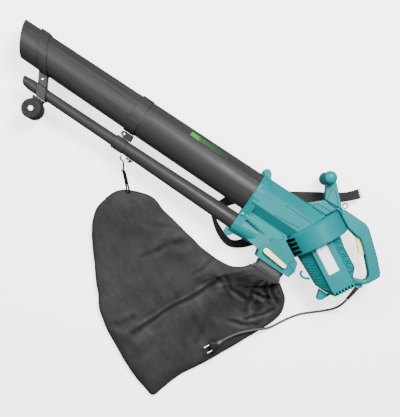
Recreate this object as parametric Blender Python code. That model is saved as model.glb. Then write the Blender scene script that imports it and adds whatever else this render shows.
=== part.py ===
"""Electric leaf blower and garden vacuum, lying on its side with its bag spread beside it.

Frame: metres, +Z up.  +X runs from the nozzles to the handle, +Y is the machine's upper side,
away from the bag.  The machine's mid-plane is level, MID_HEIGHT above the floor, and the origin
is on the floor under the centre of the fan casing, on the casing's flat resting facet.
Lengths in the constants are millimetres; heights given to shapes are measured from the mid-plane.
"""

import math

import bmesh
import bpy
from mathutils import Matrix, Vector

MM = 0.001
GAP = 0.3                 # clearance between pieces that touch
WALL = 3.0                # moulded housing wall

# Fan casing and motor line
FAN_RADIUS = 85.0
MID_HEIGHT = FAN_RADIUS   # the casing stands on the floor
AXIS_TILT = 28.8          # degrees between the tubes and the motor axis
FAN_FRONT = -36.0
FAN_REAR = 24.0
PLATE_REAR = 27.0
BLOCK_REAR = 172.0
BLOCK_HEIGHT = 56.0
SHAFT_RADIUS = 5.0

# Suction tube, on the X axis
MOUTH_X = -992.0
MOUTH_SLANT = -0.47
JOINT_X = -619.0
JOINT_LENGTH = 34.0
FLANGE_X = -215.0
SUCTION_RADII = (48.3, 51.5, 52.6, 55.0)    # mouth, joint, behind the joint, flange
FLAT_STEP = 1.011         # how far the flats stand proud of the round part, as a ratio
COLLAR_RADIUS = 55.0
SUCTION_BORE = 45.8
SPIGOT_RADIUS = 51.5

# Blower tube, parallel to the suction tube
BLOWER_Y = -95.5
BLOWER_FRONT_X = -905.0
BLOWER_RADII = (14.8, 16.4, 18.8, 24.4)
RING_RADIUS = 20.3
BLOWER_BORE = 12.5
NOZZLE_TIP_X = -927.0
NOZZLE_END_X = -851.0

# Front clamp and wheels
CLAMP_X = -918.0
CLAMP_SLANT = -0.542
CLAMP_WIDTH = 28.0
CLAMP_RADIUS = 53.2
WHEEL_CENTRE = (-861.0, -150.0)
WHEEL_RADIUS = 28.5
WHEEL_INNER = 14.0
WHEEL_OUTER = 31.0
AXLE_RADIUS = 4.0

# Housing around the ducts
BARREL_APOTHEM = 58.0
BOX_HEIGHT = 46.0
SELECTOR_AXIS = (-97.0, -116.0)

# Handle
HANDLE_HALF = 17.0
TRIGGER_AXIS = (101.0, 69.0)
GRIP_AXIS = (-61.0, 152.0)
GRIP_RADIUS = 17.0

# Cord
CORD_DIAMETER = 7.0

TEAL = ("teal_plastic", (0.045, 0.300, 0.310), 0.38, 0.0)
GREY = ("tube_plastic", (0.050, 0.050, 0.052), 0.42, 0.0)
BLACK = ("black_plastic", (0.015, 0.015, 0.016), 0.45, 0.0)
CREAM = ("cream_plastic", (0.800, 0.760, 0.560), 0.40, 0.0)
STEEL = ("bright_steel", (0.560, 0.560, 0.560), 0.28, 1.0)
BRASS = ("brass_contacts", (0.700, 0.480, 0.200), 0.30, 1.0)
COPPER = ("copper_winding", (0.600, 0.260, 0.120), 0.35, 1.0)
FABRIC = ("bag_fabric", (0.030, 0.029, 0.030), 0.90, 0.0)
WEBBING = ("black_webbing", (0.012, 0.012, 0.013), 0.85, 0.0)
RUBBER = ("cord_rubber", (0.016, 0.016, 0.017), 0.55, 0.0)
PALE = ("label_white", (0.800, 0.800, 0.780), 0.50, 0.0)
GREEN = ("badge_green", (0.060, 0.420, 0.060), 0.45, 0.0)
PLUG_GREY = ("plug_grey", (0.240, 0.240, 0.245), 0.50, 0.0)

TILT_COS = math.cos(math.radians(AXIS_TILT))
TILT_SIN = math.sin(math.radians(AXIS_TILT))


# ---------------------------------------------------------------- scene and objects


def clear_scene():
    for item in list(bpy.data.objects):
        bpy.data.objects.remove(item, do_unlink=True)


def material(recipe):
    name, colour, roughness, metallic = recipe
    if name in bpy.data.materials:
        return bpy.data.materials[name]
    made = bpy.data.materials.new(name)
    made.use_nodes = True
    shader = made.node_tree.nodes["Principled BSDF"]
    shader.inputs["Base Color"].default_value = (*colour, 1.0)
    shader.inputs["Roughness"].default_value = roughness
    shader.inputs["Metallic"].default_value = metallic
    made.diffuse_color = (*colour, 1.0)
    return made


def empty(name, location, parent=None, turn=0.0):
    frame = bpy.data.objects.new(name, None)
    frame.location = Vector(location) * MM
    frame.rotation_euler = (0.0, 0.0, math.radians(turn))
    frame.parent = parent
    bpy.context.collection.objects.link(frame)
    return frame


def add_object(name, mesh_maker, recipe, parent, at=(0.0, 0.0, 0.0), smooth=True):
    """Turn a bmesh in millimetres, measured from `at`, into a named object."""
    bmesh.ops.recalc_face_normals(mesh_maker, faces=mesh_maker.faces)
    bmesh.ops.scale(mesh_maker, vec=(MM, MM, MM), verts=mesh_maker.verts)
    mesh = bpy.data.meshes.new(name)
    mesh_maker.to_mesh(mesh)
    mesh_maker.free()
    mesh.materials.append(material(recipe))
    if smooth:
        mesh.shade_smooth()
        mesh.set_sharp_from_angle(angle=math.radians(35.0))
    made = bpy.data.objects.new(name, mesh)
    made.location = Vector(at) * MM
    made.parent = parent
    bpy.context.collection.objects.link(made)
    return made


def tool(name, mesh_maker, parent):
    """A hidden operand of a Boolean."""
    made = add_object(name, mesh_maker, BLACK, parent, smooth=False)
    made.hide_render = True
    made.display_type = "WIRE"
    return made


def combine(target, operand, operation):
    step = target.modifiers.new(operation.lower(), "BOOLEAN")
    step.operation = operation
    step.solver = "EXACT"
    step.object = operand


def bevel(target, width, segments=2, angle=35.0):
    step = target.modifiers.new("edges", "BEVEL")
    step.width = width * MM
    step.segments = segments
    step.limit_method = "ANGLE"
    step.angle_limit = math.radians(angle)


# ---------------------------------------------------------------- shapes


def skin(rings, cyclic=False):
    """Faces between equal rings of points; open ends are capped unless the rings close."""
    made = bmesh.new()
    verts = [[made.verts.new(point) for point in ring] for ring in rings]
    count = len(rings[0])
    pairs = list(zip(verts, verts[1:]))
    if cyclic:
        pairs.append((verts[-1], verts[0]))
    for first, second in pairs:
        for k in range(count):
            n = (k + 1) % count
            made.faces.new((first[k], first[n], second[n], second[k]))
    if not cyclic:
        made.faces.new(list(reversed(verts[0])))
        made.faces.new(verts[-1])
    return made


def circle(radius, count, centre=(0.0, 0.0), phase=0.5):
    """Points of a polygon whose flats are at `radius`."""
    reach = radius / math.cos(math.pi / count)
    turns = [2.0 * math.pi * (k + phase) / count for k in range(count)]
    return [(centre[0] + reach * math.cos(t), centre[1] + reach * math.sin(t)) for t in turns]


def prism_z(outline, low, high):
    return skin([[(x, y, low) for x, y in outline], [(x, y, high) for x, y in outline]])


def prism_x(outline, low, high, slant=0.0):
    """Outline in Y and Z, drawn out along X and slanted with Y."""
    return skin([[(x + slant * y, y, z) for y, z in outline] for x in (low, high)])


def box(low, high):
    corners = [(low[0], low[1]), (high[0], low[1]), (high[0], high[1]), (low[0], high[1])]
    return prism_z(corners, low[2], high[2])


def turned(profile, count, cyclic=True, phase=0.5):
    """Profile of (along X, radius) turned about X."""
    rings = []
    for x, radius in profile:
        rings.append([(x, y, z) for y, z in circle(radius, count, phase=phase)])
    return skin(rings, cyclic)


def moved(made, offset):
    bmesh.ops.translate(made, vec=Vector(offset), verts=made.verts)
    return made


def turned_upright(made):
    """Turn a shape built along X so that it stands along Z."""
    bmesh.ops.rotate(made, matrix=Matrix.Rotation(-math.pi / 2.0, 3, "Y"), verts=made.verts)
    return made


def rounded_rectangle(half_u, half_v, radius, steps=3):
    points = []
    for corner, (su, sv) in enumerate(((1, 1), (-1, 1), (-1, -1), (1, -1))):
        for k in range(steps + 1):
            turn = math.pi / 2.0 * (corner + k / steps)
            u = su * (half_u - radius) + radius * math.cos(turn)
            v = sv * (half_v - radius) + radius * math.sin(turn)
            points.append((u, v))
    return points


def smooth_path(points, steps):
    """Catmull-Rom curve through the points."""
    route = []
    last = len(points) - 1
    for k in range(last):
        before = points[max(k - 1, 0)]
        start, end = points[k], points[k + 1]
        after = points[min(k + 2, last)]
        for step in range(steps):
            t = step / steps
            route.append(curve_point(before, start, end, after, t))
    route.append(Vector(points[last]))
    return route


def curve_point(before, start, end, after, t):
    p0, p1, p2, p3 = (Vector(p) for p in (before, start, end, after))
    flat = 2.0 * p1 + (p2 - p0) * t
    bend = (2.0 * p0 - 5.0 * p1 + 4.0 * p2 - p3) * t * t
    twist = (3.0 * p1 - p0 - 3.0 * p2 + p3) * t * t * t
    return (flat + bend + twist) * 0.5


def wire(name, route, radius, recipe, parent, closed=False, resolution=2):
    """A round bar along a route of points, as a bevelled curve."""
    curve = bpy.data.curves.new(name, "CURVE")
    curve.dimensions = "3D"
    curve.bevel_depth = radius * MM
    curve.bevel_resolution = resolution
    curve.render_resolution_u = 0
    curve.use_fill_caps = not closed
    line = curve.splines.new("POLY")
    line.points.add(len(route) - 1)
    line.use_cyclic_u = closed
    for place, point in zip(line.points, route):
        place.co = (*(Vector(point) * MM), 1.0)
    curve.materials.append(material(recipe))
    made = bpy.data.objects.new(name, curve)
    made.parent = parent
    bpy.context.collection.objects.link(made)
    return made


def motor_point(a, b):
    """Machine X and Y of a point `a` along the motor axis and `b` across it."""
    return (a * TILT_COS + b * TILT_SIN, -a * TILT_SIN + b * TILT_COS)


# ---------------------------------------------------------------- tubes


def tube_section(radius, ribbed=True):
    """Round section whose upper third is three flats, each a step proud of the round."""
    edge = 56.4
    flats = [-edge] + [-45.0 + 11.25 * k for k in range(9)] + [edge]
    points = []
    for turn in flats:
        reach = radius
        if ribbed:
            off = abs((turn + 22.5) % 45.0 - 22.5)
            reach = radius * FLAT_STEP / math.cos(math.radians(off))
        points.append(polar_yz(reach, turn))
    start = edge + 0.8
    for k in range(19):
        turn = start + (360.0 - 2.0 * start) * k / 18.0
        points.append(polar_yz(radius, turn))
    return points


def polar_yz(reach, degrees, centre=0.0):
    turn = math.radians(degrees)
    return (centre + reach * math.cos(turn), reach * math.sin(turn))


def suction_skin(stations):
    """Closed run of rings; each station is (x, radius, with flats or plain, slant)."""
    rings = []
    for x, radius, ribbed, slant in stations:
        rings.append([(x + slant * y, y, z) for y, z in tube_section(radius, ribbed)])
    return skin(rings, cyclic=True)


def suction_tubes(machine):
    mouth, joint, behind, flange = SUCTION_RADII
    socket_end = JOINT_X + JOINT_LENGTH
    seat = JOINT_X + 3.0
    front = [
        (MOUTH_X, mouth, True, MOUTH_SLANT),
        (JOINT_X - 0.4, joint, True, 0.0),
        (JOINT_X, COLLAR_RADIUS, True, 0.0),
        (socket_end, COLLAR_RADIUS, True, 0.0),
        (socket_end, joint + 0.5, True, 0.0),
        (seat, joint + 0.5, True, 0.0),
        (seat, SUCTION_BORE, False, 0.0),
        (MOUTH_X, SUCTION_BORE, False, MOUTH_SLANT),
    ]
    add_object("suction_tube_front", suction_skin(front), GREY, machine)
    rear = [
        (seat + 0.5, joint, True, 0.0),
        (socket_end + 0.5, joint, True, 0.0),
        (socket_end + 1.0, behind, True, 0.0),
        (FLANGE_X - 0.5, flange, True, 0.0),
        (FLANGE_X - 0.3, SPIGOT_RADIUS, False, 0.0),
        (FLANGE_X + 28.0, SPIGOT_RADIUS, False, 0.0),
        (FLANGE_X + 28.0, SUCTION_BORE + 1.0, False, 0.0),
        (seat + 0.5, SUCTION_BORE, False, 0.0),
    ]
    add_object("suction_tube_rear", suction_skin(rear), GREY, machine)


def blower_skin(stations):
    """Closed run of plain rings; each station is (x, radius)."""
    rings = []
    for x, radius in stations:
        rings.append([(x, y, z) for y, z in circle(radius, 24, centre=(BLOWER_Y, 0.0))])
    return skin(rings, cyclic=True)


def blower_tubes(machine):
    front_radius, joint, behind, flange = BLOWER_RADII
    ring_start = JOINT_X - 3.0
    ring_end = JOINT_X + 33.0
    seat = ring_start + 10.0
    plug, spigot = joint + 0.8, flange - 2.9
    front = [
        (BLOWER_FRONT_X, BLOWER_BORE),
        (NOZZLE_END_X, BLOWER_BORE),
        (NOZZLE_END_X + 1.0, front_radius),
        (ring_start - 0.5, joint),
        (ring_start, RING_RADIUS),
        (ring_end, RING_RADIUS),
        (ring_end, plug + 0.4),
        (seat, plug + 0.4),
        (seat, BLOWER_BORE + 1.0),
        (BLOWER_FRONT_X, BLOWER_BORE - 1.7),
    ]
    add_object("blower_tube_front", blower_skin(front), GREY, machine)
    rear = [
        (seat + 0.5, plug),
        (ring_end + 0.5, plug),
        (ring_end + 1.0, behind),
        (FLANGE_X - 0.5, flange),
        (FLANGE_X - 0.3, spigot),
        (FLANGE_X + 25.0, spigot),
        (FLANGE_X + 25.0, spigot - WALL),
        (seat + 0.5, BLOWER_BORE + 1.0),
    ]
    add_object("blower_tube_rear", blower_skin(rear), GREY, machine)


def beak_section(half_y, half_z):
    turns = [2.0 * math.pi * (k + 0.5) / 24 for k in range(24)]
    return [(half_y * math.cos(t), half_z * math.sin(t)) for t in turns]


def blower_nozzle(machine):
    """Flat beak that slips over the front of the blower tube."""
    rear = NOZZLE_END_X - 0.5
    stations = [
        (rear, 15.4, 15.4, 0.0),
        (BLOWER_FRONT_X + 2.0, 16.0, 16.0, 0.0),
        (NOZZLE_TIP_X, 12.6, 21.0, -0.5),
        (NOZZLE_TIP_X, 10.6, 19.0, -0.5),
        (BLOWER_FRONT_X - 1.0, 12.6, 13.2, 0.0),
        (rear, 12.9, 12.9, 0.0),
    ]
    rings = []
    for x, half_y, half_z, slant in stations:
        ring = beak_section(half_y, half_z)
        rings.append([(x + slant * y, BLOWER_Y + y, z) for y, z in ring])
    add_object("blower_nozzle", skin(rings, cyclic=True), GREY, machine)


# ---------------------------------------------------------------- brackets and wheels


def clamp_outline():
    """Ring round the suction tube with a neck down to a block round the blower tube."""
    neck = 13.0
    section = tube_section(CLAMP_RADIUS)
    hidden = [k for k, (y, z) in enumerate(section) if y < 0.0 and abs(z) < neck]
    root = -math.sqrt(CLAMP_RADIUS ** 2 - neck ** 2)
    leg = [(root, neck), (-78.0, neck), (-82.0, 19.5), (-114.0, 19.5)]
    other_leg = [(y, -z) for y, z in reversed(leg)]
    return section[:hidden[0]] + leg + other_leg + section[hidden[-1] + 1:]


def front_clamp(machine):
    start = CLAMP_X - CLAMP_WIDTH / 2.0
    end = CLAMP_X + CLAMP_WIDTH / 2.0
    solid = prism_x(clamp_outline(), start, end, CLAMP_SLANT)
    clamp = add_object("front_clamp", solid, GREY, machine)
    bore = prism_x(tube_section(CLAMP_RADIUS - 3.3), -1010.0, -800.0)
    combine(clamp, tool("clamp_bore", bore, machine), "DIFFERENCE")
    small = prism_x(circle(16.4, 24, centre=(BLOWER_Y, 0.0)), -950.0, -800.0)
    combine(clamp, tool("clamp_small_bore", small, machine), "DIFFERENCE")
    head = [(13.3, 3.6), (15.6, 3.4), (16.4, 2.0)]
    screw = turned_upright(turned(head, 12, cyclic=False))
    add_object("clamp_screw", screw, STEEL, machine, at=(-882.5, -64.7, 0.0))


def wheel_set(machine):
    x, y = WHEEL_CENTRE
    top = BLOWER_Y - 18.9
    arc = [polar_xy(9.5, 180.0 + 30.0 * k) for k in range(7)]
    outline = [(-21.0, top - y), (-13.0, top - y - 22.0)] + arc
    outline += [(11.0, top - y - 18.0), (15.0, top - y)]
    fork = add_object("wheel_fork", prism_z(outline, -13.4, 13.4), BLACK, machine, at=(x, y, 0.0))
    hole = moved(prism_z(circle(AXLE_RADIUS + GAP, 16), -20.0, 20.0), (x, y, 0.0))
    combine(fork, tool("fork_hole", hole, machine), "DIFFERENCE")
    axle = turned_upright(turned([(-33.0, AXLE_RADIUS), (33.0, AXLE_RADIUS)], 16, cyclic=False))
    add_object("wheel_axle", axle, STEEL, machine, at=(x, y, 0.0))
    for side, name in ((1.0, "left"), (-1.0, "right")):
        hub = empty("wheel_spin_" + name, (x, y, 0.0), machine)
        add_object("wheel_" + name, toothed_wheel(side), BLACK, hub)
        low, high = sorted((side * (WHEEL_OUTER + 0.3), side * (WHEEL_OUTER + 1.6)))
        rings = []
        for z, reach in ((low, 7.5), (high, 7.5)):
            rings.append([(px, py, z) for px, py in circle(reach, 16)])
        for z, reach in ((high, AXLE_RADIUS + 0.3), (low, AXLE_RADIUS + 0.3)):
            rings.append([(px, py, z) for px, py in circle(reach, 16)])
        add_object("wheel_cap_" + name, skin(rings, cyclic=True), STEEL, machine, at=(x, y, 0.0))


def polar_xy(reach, degrees):
    turn = math.radians(degrees)
    return (reach * math.cos(turn), reach * math.sin(turn))


def toothed_wheel(side):
    """Wheel with square teeth on its tread, a recessed face and a bore."""
    teeth = 24
    tread = []
    for k in range(teeth):
        for part, reach in ((0.0, 0.0), (0.42, 0.0), (0.5, -1.6), (0.92, -1.6)):
            tread.append(polar_xy(WHEEL_RADIUS + reach, 360.0 * (k + part) / teeth))
    near, far = side * WHEEL_INNER, side * WHEEL_OUTER

    def ring(reach, z):
        return [(*polar_xy(reach, math.degrees(math.atan2(py, px))), z) for px, py in tread]

    rings = [
        [(px, py, near + side * 1.0) for px, py in tread],
        [(px, py, far - side * 1.0) for px, py in tread],
        ring(WHEEL_RADIUS - 3.2, far),
        ring(AXLE_RADIUS + GAP, far),
        ring(AXLE_RADIUS + GAP, near),
        ring(WHEEL_RADIUS - 3.2, near),
    ]
    return skin(rings, cyclic=True)


def tube_brackets(machine):
    """Link between the tubes at their joints, and the hook lug under the blower tube."""
    top, bottom = -COLLAR_RADIUS - 1.0, BLOWER_Y + RING_RADIUS + 0.4
    eye = (-609.0, -64.4)
    arc = []
    for k in range(7):
        px, py = polar_xy(8.3, 90.0 + 30.0 * k)
        arc.append((eye[0] + px, eye[1] + py))
    outline = arc + [(-606.0, bottom), (-580.0, bottom), (-581.5, top)]
    link = add_object("tube_bracket", prism_z(outline, -9.0, 9.0), BLACK, machine)
    hole = moved(prism_z(circle(3.8, 12), -20.0, 20.0), (*eye, 0.0))
    combine(link, tool("bracket_hole", hole, machine), "DIFFERENCE")

    lug_x = -556.0
    seat = BLOWER_Y - 19.8
    outline = [(-12.0, seat), (-9.0, seat - 5.0), (-3.0, seat - 10.0), (4.0, seat - 10.0)]
    outline += [(8.0, seat - 6.0), (12.0, seat)]
    plate = prism_z([(lug_x + u, v) for u, v in outline], -4.5, 4.5)
    lug = add_object("bag_hook_lug", plate, BLACK, machine)
    hole = moved(prism_z(circle(2.4, 10), -20.0, 20.0), (lug_x - 2.5, seat - 5.6, 0.0))
    combine(lug, tool("lug_hole", hole, machine), "DIFFERENCE")


# ---------------------------------------------------------------- duct housing


def to_fan_plane(y, offset):
    """X of the plane in front of the fan casing, at height y."""
    return (FAN_FRONT - offset + TILT_SIN * y) / TILT_COS


def barrel(section, start, offset):
    """Straight barrel along X that ends on the slanted plane in front of the fan casing."""
    rings = [
        [(start, y, z) for y, z in section],
        [(to_fan_plane(y, offset), y, z) for y, z in section],
    ]
    return skin(rings)


def flange_outline():
    """Band round both barrels at the tube end."""
    points = []
    for k in range(13):
        turn = -120.0 + 240.0 * k / 12.0
        points.append(polar_yz(61.0, turn))
    points += [(-62.0, 36.0), (-78.0, 31.0)]
    for k in range(7):
        turn = 100.0 + 160.0 * k / 6.0
        points.append(polar_yz(32.0, turn, BLOWER_Y))
    points += [(-78.0, -31.0), (-62.0, -36.0)]
    return points


def ear_outline(root, tip, lean):
    """Rounded lug that rises from root to tip in Y, in the X and Y plane."""
    side = 1.0 if tip > root else -1.0
    return [
        (FLANGE_X + 21.0, root),
        (FLANGE_X + 19.0 + lean, tip - side * 12.0),
        (FLANGE_X + 13.0 + lean, tip - side * 3.0),
        (FLANGE_X + 5.0 + lean, tip),
        (FLANGE_X - 3.0 + lean, tip - side * 2.0),
        (FLANGE_X - 9.0 + lean, tip - side * 10.0),
        (FLANGE_X + 1.0, root + side * 8.0),
        (FLANGE_X + 1.0, root),
    ]


# Outlines in X and Y of the block behind the lower barrel, its hollow, and the web between barrels
OUTLET_BOX = [
    (-117.0, -117.0), (-111.0, -143.0), (-5.0, -143.0), (2.0, -121.0), (-5.5, -96.3), (-66.0, -62.9),
    (-95.0, -72.0),
]
OUTLET_BORE = [
    (-107.0, -118.0), (-104.0, -160.0), (-11.0, -160.0), (-10.0, -100.0), (-62.0, -72.0), (-93.0, -84.0),
]
WEB = [(-200.0, -48.0), (-200.0, -72.0), (-88.0, -88.0), (-66.0, -63.0), (-60.0, -40.0)]


def duct_shells(machine, motor):
    outer = [
        ("flange_band", prism_x(flange_outline(), FLANGE_X, FLANGE_X + 25.0)),
        ("web_block", prism_z(WEB, -33.0, 33.0)),
        ("outlet_block", prism_z(OUTLET_BOX, -BOX_HEIGHT, BOX_HEIGHT)),
        ("ear_top", prism_z(ear_outline(50.0, 77.5, 0.0), -13.0, 13.0)),
        ("ear_bottom", prism_z(ear_outline(-115.0, -141.5, -2.0), -11.0, 11.0)),
        ("lower_barrel", lower_barrel(31.0, 25.5, FLANGE_X + 20.0, -100.0)),
        ("ramp_block", ramp()),
    ]
    inner = [
        ("suction_bore", barrel(circle(50.0, 24), FLANGE_X - 5.0, -4.0)),
        ("suction_seat", prism_x(circle(SPIGOT_RADIUS + 0.4, 24), FLANGE_X - 5.0, FLANGE_X + 28.6)),
        ("tube_relief", prism_x(circle(61.5, 24), -240.0, FLANGE_X - 0.01)),
        ("blower_bore", lower_barrel(21.0, 21.0, FLANGE_X - 5.0, -85.0)),
        ("blower_seat", lower_barrel(21.9, 21.9, FLANGE_X - 5.0, FLANGE_X + 25.6)),
        ("outlet_bore", prism_z(OUTLET_BORE, -BOX_HEIGHT + WALL, BOX_HEIGHT - WALL)),
        ("selector_bore", moved(prism_z(circle(4.5, 16), -60.0, 60.0), (*SELECTOR_AXIS, 0.0))),
    ]
    outer_tools = [tool(name, made, machine) for name, made in outer]
    inner_tools = [tool(name, made, machine) for name, made in inner]
    room = [(FAN_FRONT - GAP, FAN_RADIUS + GAP), (60.0, FAN_RADIUS + GAP)]
    fan_space = tool("fan_space", turned(room, 48, cyclic=False), motor)
    barrel_end = FLANGE_X + 10.0
    for side, name in ((1.0, "left"), (-1.0, "right")):
        upper = barrel(circle(BARREL_APOTHEM, 8), barrel_end, GAP)
        shell = add_object("duct_shell_" + name, upper, TEAL, machine)
        for operand in outer_tools:
            combine(shell, operand, "UNION")
        for operand in inner_tools:
            combine(shell, operand, "DIFFERENCE")
        combine(shell, fan_space, "DIFFERENCE")
        combine(shell, half_space(name, side, machine), "INTERSECT")


def half_space(name, side, machine):
    label = "half_" + name
    if label in bpy.data.objects:
        return bpy.data.objects[label]
    low, high = sorted((side * 0.15, side * 120.0))
    return tool(label, box((-400.0, -400.0, low), (400.0, 400.0, high)), machine)


def lower_barrel(first, last, start, end):
    rings = []
    for x, radius in ((start, first), (end, last)):
        rings.append([(x, y, z) for y, z in circle(radius, 20, centre=(BLOWER_Y, 0.0))])
    return skin(rings)


def ramp():
    """Slope from the lower barrel up to the outlet block."""
    rings = []
    for x, low_y, high_y, half in ((-165.0, -117.0, -74.0, 15.0), (-104.0, -126.0, -74.0, 45.0)):
        rings.append([(x, low_y, -half), (x, high_y, -half), (x, high_y, half), (x, low_y, half)])
    return skin(rings)


def bag_adapter(machine):
    """Square duct between the outlet block and the bag's mouth."""
    centre = -58.5
    stations = [(-132.0, 40.5, 38.5), (-144.5, 40.5, 38.5), (-173.0, 38.0, 36.5)]
    outer = [(y, half_x, half_z) for y, half_x, half_z in stations]
    inner = [(y, half_x - 2.5, half_z - 2.5) for y, half_x, half_z in reversed(stations)]
    rings = []
    for y, half_x, half_z in outer + inner:
        rings.append([(centre + u, y, v) for u, v in rounded_rectangle(half_x, half_z, 16.0)])
    add_object("bag_adapter", skin(rings, cyclic=True), GREY, machine)


def selector(machine):
    """Lever on top of the outlet block, with its shaft and the flap inside."""
    x, y = SELECTOR_AXIS
    pivot = empty("selector_turn", (x, y, 0.0), machine)
    wide = [polar_xy(8.2, 90.0 + 30.0 * k) for k in range(7)]
    narrow = [(64.0 + px, -7.8 + py) for px, py in (polar_xy(6.2, -90.0 + 30.0 * k) for k in range(7))]
    lever = add_object("selector_lever", prism_z(wide + narrow, 49.5, 57.5), CREAM, pivot)
    bevel(lever, 2.0, 2)
    shaft = turned_upright(turned([(-41.0, AXLE_RADIUS), (49.2, AXLE_RADIUS)], 16, cyclic=False))
    flap = add_object("diverter_flap", shaft, GREY, pivot)
    plate = prism_z([(0.0, -1.5), (55.0, -8.2), (55.0, -5.2), (0.0, 1.5)], -40.5, 40.5)
    combine(flap, tool("flap_plate", plate, pivot), "UNION")


# ---------------------------------------------------------------- fan and motor


def fan_casing(motor):
    profile = [
        (FAN_FRONT, 52.0),
        (FAN_FRONT, FAN_RADIUS - 8.0),
        (FAN_FRONT + 8.0, FAN_RADIUS),
        (FAN_REAR, FAN_RADIUS),
        (FAN_REAR, FAN_RADIUS - WALL),
        (FAN_FRONT + 9.0, FAN_RADIUS - WALL),
        (FAN_FRONT + WALL, FAN_RADIUS - 9.0),
        (FAN_FRONT + WALL, 52.0),
    ]
    casing = add_object("fan_casing", turned(profile, 48), TEAL, motor)
    for k in range(4):
        low = -27.0 + 13.0 * k
        slot = box((low, -100.0, 9.0), (low + 9.0, -63.0, 57.0))
        combine(casing, tool("vent_slot_%d" % (k + 1), slot, motor), "DIFFERENCE")
    window = box((-26.0, -100.0, -52.0), (16.0, -50.0, -6.0))
    combine(casing, tool("fan_outlet", window, motor), "DIFFERENCE")
    face = FAN_REAR + GAP
    plate = [(face, FAN_RADIUS - 0.4), (PLATE_REAR, FAN_RADIUS - 1.4), (PLATE_REAR, 9.0), (face, 9.0)]
    add_object("fan_back_plate", turned(plate, 48), TEAL, motor)


def impeller(motor):
    spin = empty("rotor_spin", (0.0, 0.0, 0.0), motor)
    blades = 8
    outline = []
    for k in range(blades):
        turn = 360.0 * k / blades
        outline += [polar_yz(14.0, turn - 14.0), polar_yz(14.0, turn - 5.0)]
        outline += [polar_yz(42.0, turn + 9.0), polar_yz(71.0, turn + 28.0)]
        outline += [polar_yz(71.0, turn + 30.2), polar_yz(42.0, turn + 12.8)]
        outline += [polar_yz(14.0, turn + 7.0)]
    fan = add_object("impeller", prism_x(outline, -24.0, 11.0), BLACK, spin)
    disc = turned([(10.0, 73.0), (13.0, 73.0)], 40, cyclic=False)
    combine(fan, tool("impeller_disc", disc, spin), "UNION")
    bore = turned([(-40.0, SHAFT_RADIUS + GAP), (40.0, SHAFT_RADIUS + GAP)], 16, cyclic=False)
    combine(fan, tool("impeller_bore", bore, spin), "DIFFERENCE")
    thread = SHAFT_RADIUS + GAP
    nut = [(-32.0, 9.0), (-24.6, 9.0), (-24.6, thread), (-32.0, thread)]
    add_object("impeller_nut", turned(nut, 6), STEEL, spin)
    shaft = turned([(-33.0, SHAFT_RADIUS), (153.0, SHAFT_RADIUS)], 16, cyclic=False)
    add_object("motor_shaft", shaft, STEEL, spin)
    core = []
    for k in range(12):
        turn = 30.0 * k
        core += [polar_yz(22.5, turn + off) for off in (-11.0, 0.0, 11.0)]
        core += [polar_yz(14.0, turn + 13.0), polar_yz(14.0, turn + 17.0)]
    armature = add_object("armature", prism_x(core, 62.0, 112.0), COPPER, spin)
    hole = turned([(50.0, SHAFT_RADIUS + GAP), (130.0, SHAFT_RADIUS + GAP)], 16, cyclic=False)
    combine(armature, tool("armature_bore", hole, spin), "DIFFERENCE")
    inner = SHAFT_RADIUS + GAP
    bars = [(118.0, 11.5), (134.0, 11.5), (134.0, inner), (118.0, inner)]
    add_object("commutator", turned(bars, 16), BRASS, spin)


def motor_parts(motor):
    stator = [(58.0, 38.0), (116.0, 38.0), (116.0, 23.4), (58.0, 23.4)]
    add_object("motor_stator", turned(stator, 24), STEEL, motor)
    for name, start in (("front_bearing", 36.0), ("rear_bearing", 141.0)):
        end, bore = start + 8.0, SHAFT_RADIUS + GAP
        ring = [(start, 13.0), (end, 13.0), (end, bore), (start, bore)]
        add_object(name, turned(ring, 16), STEEL, motor)
    for name, side in (("left", 1.0), ("right", -1.0)):
        low, high = sorted((side * 12.2, side * 26.0))
        brush = box((122.0, -4.0, low), (130.0, 4.0, high))
        add_object("carbon_brush_" + name, brush, BLACK, motor)
        low, high = sorted((side * 26.3, side * 42.0))
        holder = box((118.0, -8.0, low), (134.0, 8.0, high))
        add_object("brush_holder_" + name, holder, BRASS, motor)
    ring = [(46.0, 30.0), (50.0, 30.0), (50.0, 13.4), (46.0, 13.4)]
    add_object("motor_front_frame", turned(ring, 20), BLACK, motor)


# ---------------------------------------------------------------- motor housing and handle

# Stations along the motor axis: position, left edge, left and right of the raised block, right edge
BLOCK_STATIONS = [
    (PLATE_REAR + GAP, -74.0, -42.0, 28.0, 57.0),
    (62.0, -71.0, -42.0, 28.0, 52.0),
    (128.0, -66.0, -42.0, 28.0, 52.0),
    (150.0, -54.0, -42.0, 28.0, 35.0),
    (162.0, -47.0, -40.0, 28.0, 33.0),
    (BLOCK_REAR, -38.0, -35.0, 27.0, 30.0),
]

BODY_PLATE = [
    (-76.0, 58.5), (-37.0, 94.0), (19.0, 97.6), (24.0, 104.0), (96.0, 103.5), (112.0, 97.0),
    (126.0, 86.0), (175.0, 44.0), (207.0, 12.0), (212.5, 2.0), (210.0, -7.0), (197.0, -31.0),
    (186.0, -43.5), (166.0, -55.0), (148.0, -64.0), (132.0, -50.0), (147.5, -42.0), (165.0, -37.0),
    (179.0, -32.0), (184.5, -24.5), (184.0, -15.0), (177.0, -5.5), (141.4, 30.5), (120.0, 49.0),
    (106.0, 57.5), (92.0, 57.8), (63.0, 63.6), (9.6, 92.8), (-9.4, 58.5),
]

GRIP_CAVITY = [
    (66.0, 70.0), (66.0, 99.5), (95.0, 99.5), (110.0, 93.5), (123.5, 83.0), (172.5, 41.0), (203.5, 10.5),
    (207.5, 2.0), (205.5, -6.0), (193.5, -29.0), (189.0, -24.0), (188.0, -13.0), (180.0, -2.5), (144.5, 33.0),
    (122.5, 52.5), (107.5, 61.5),
]


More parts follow.
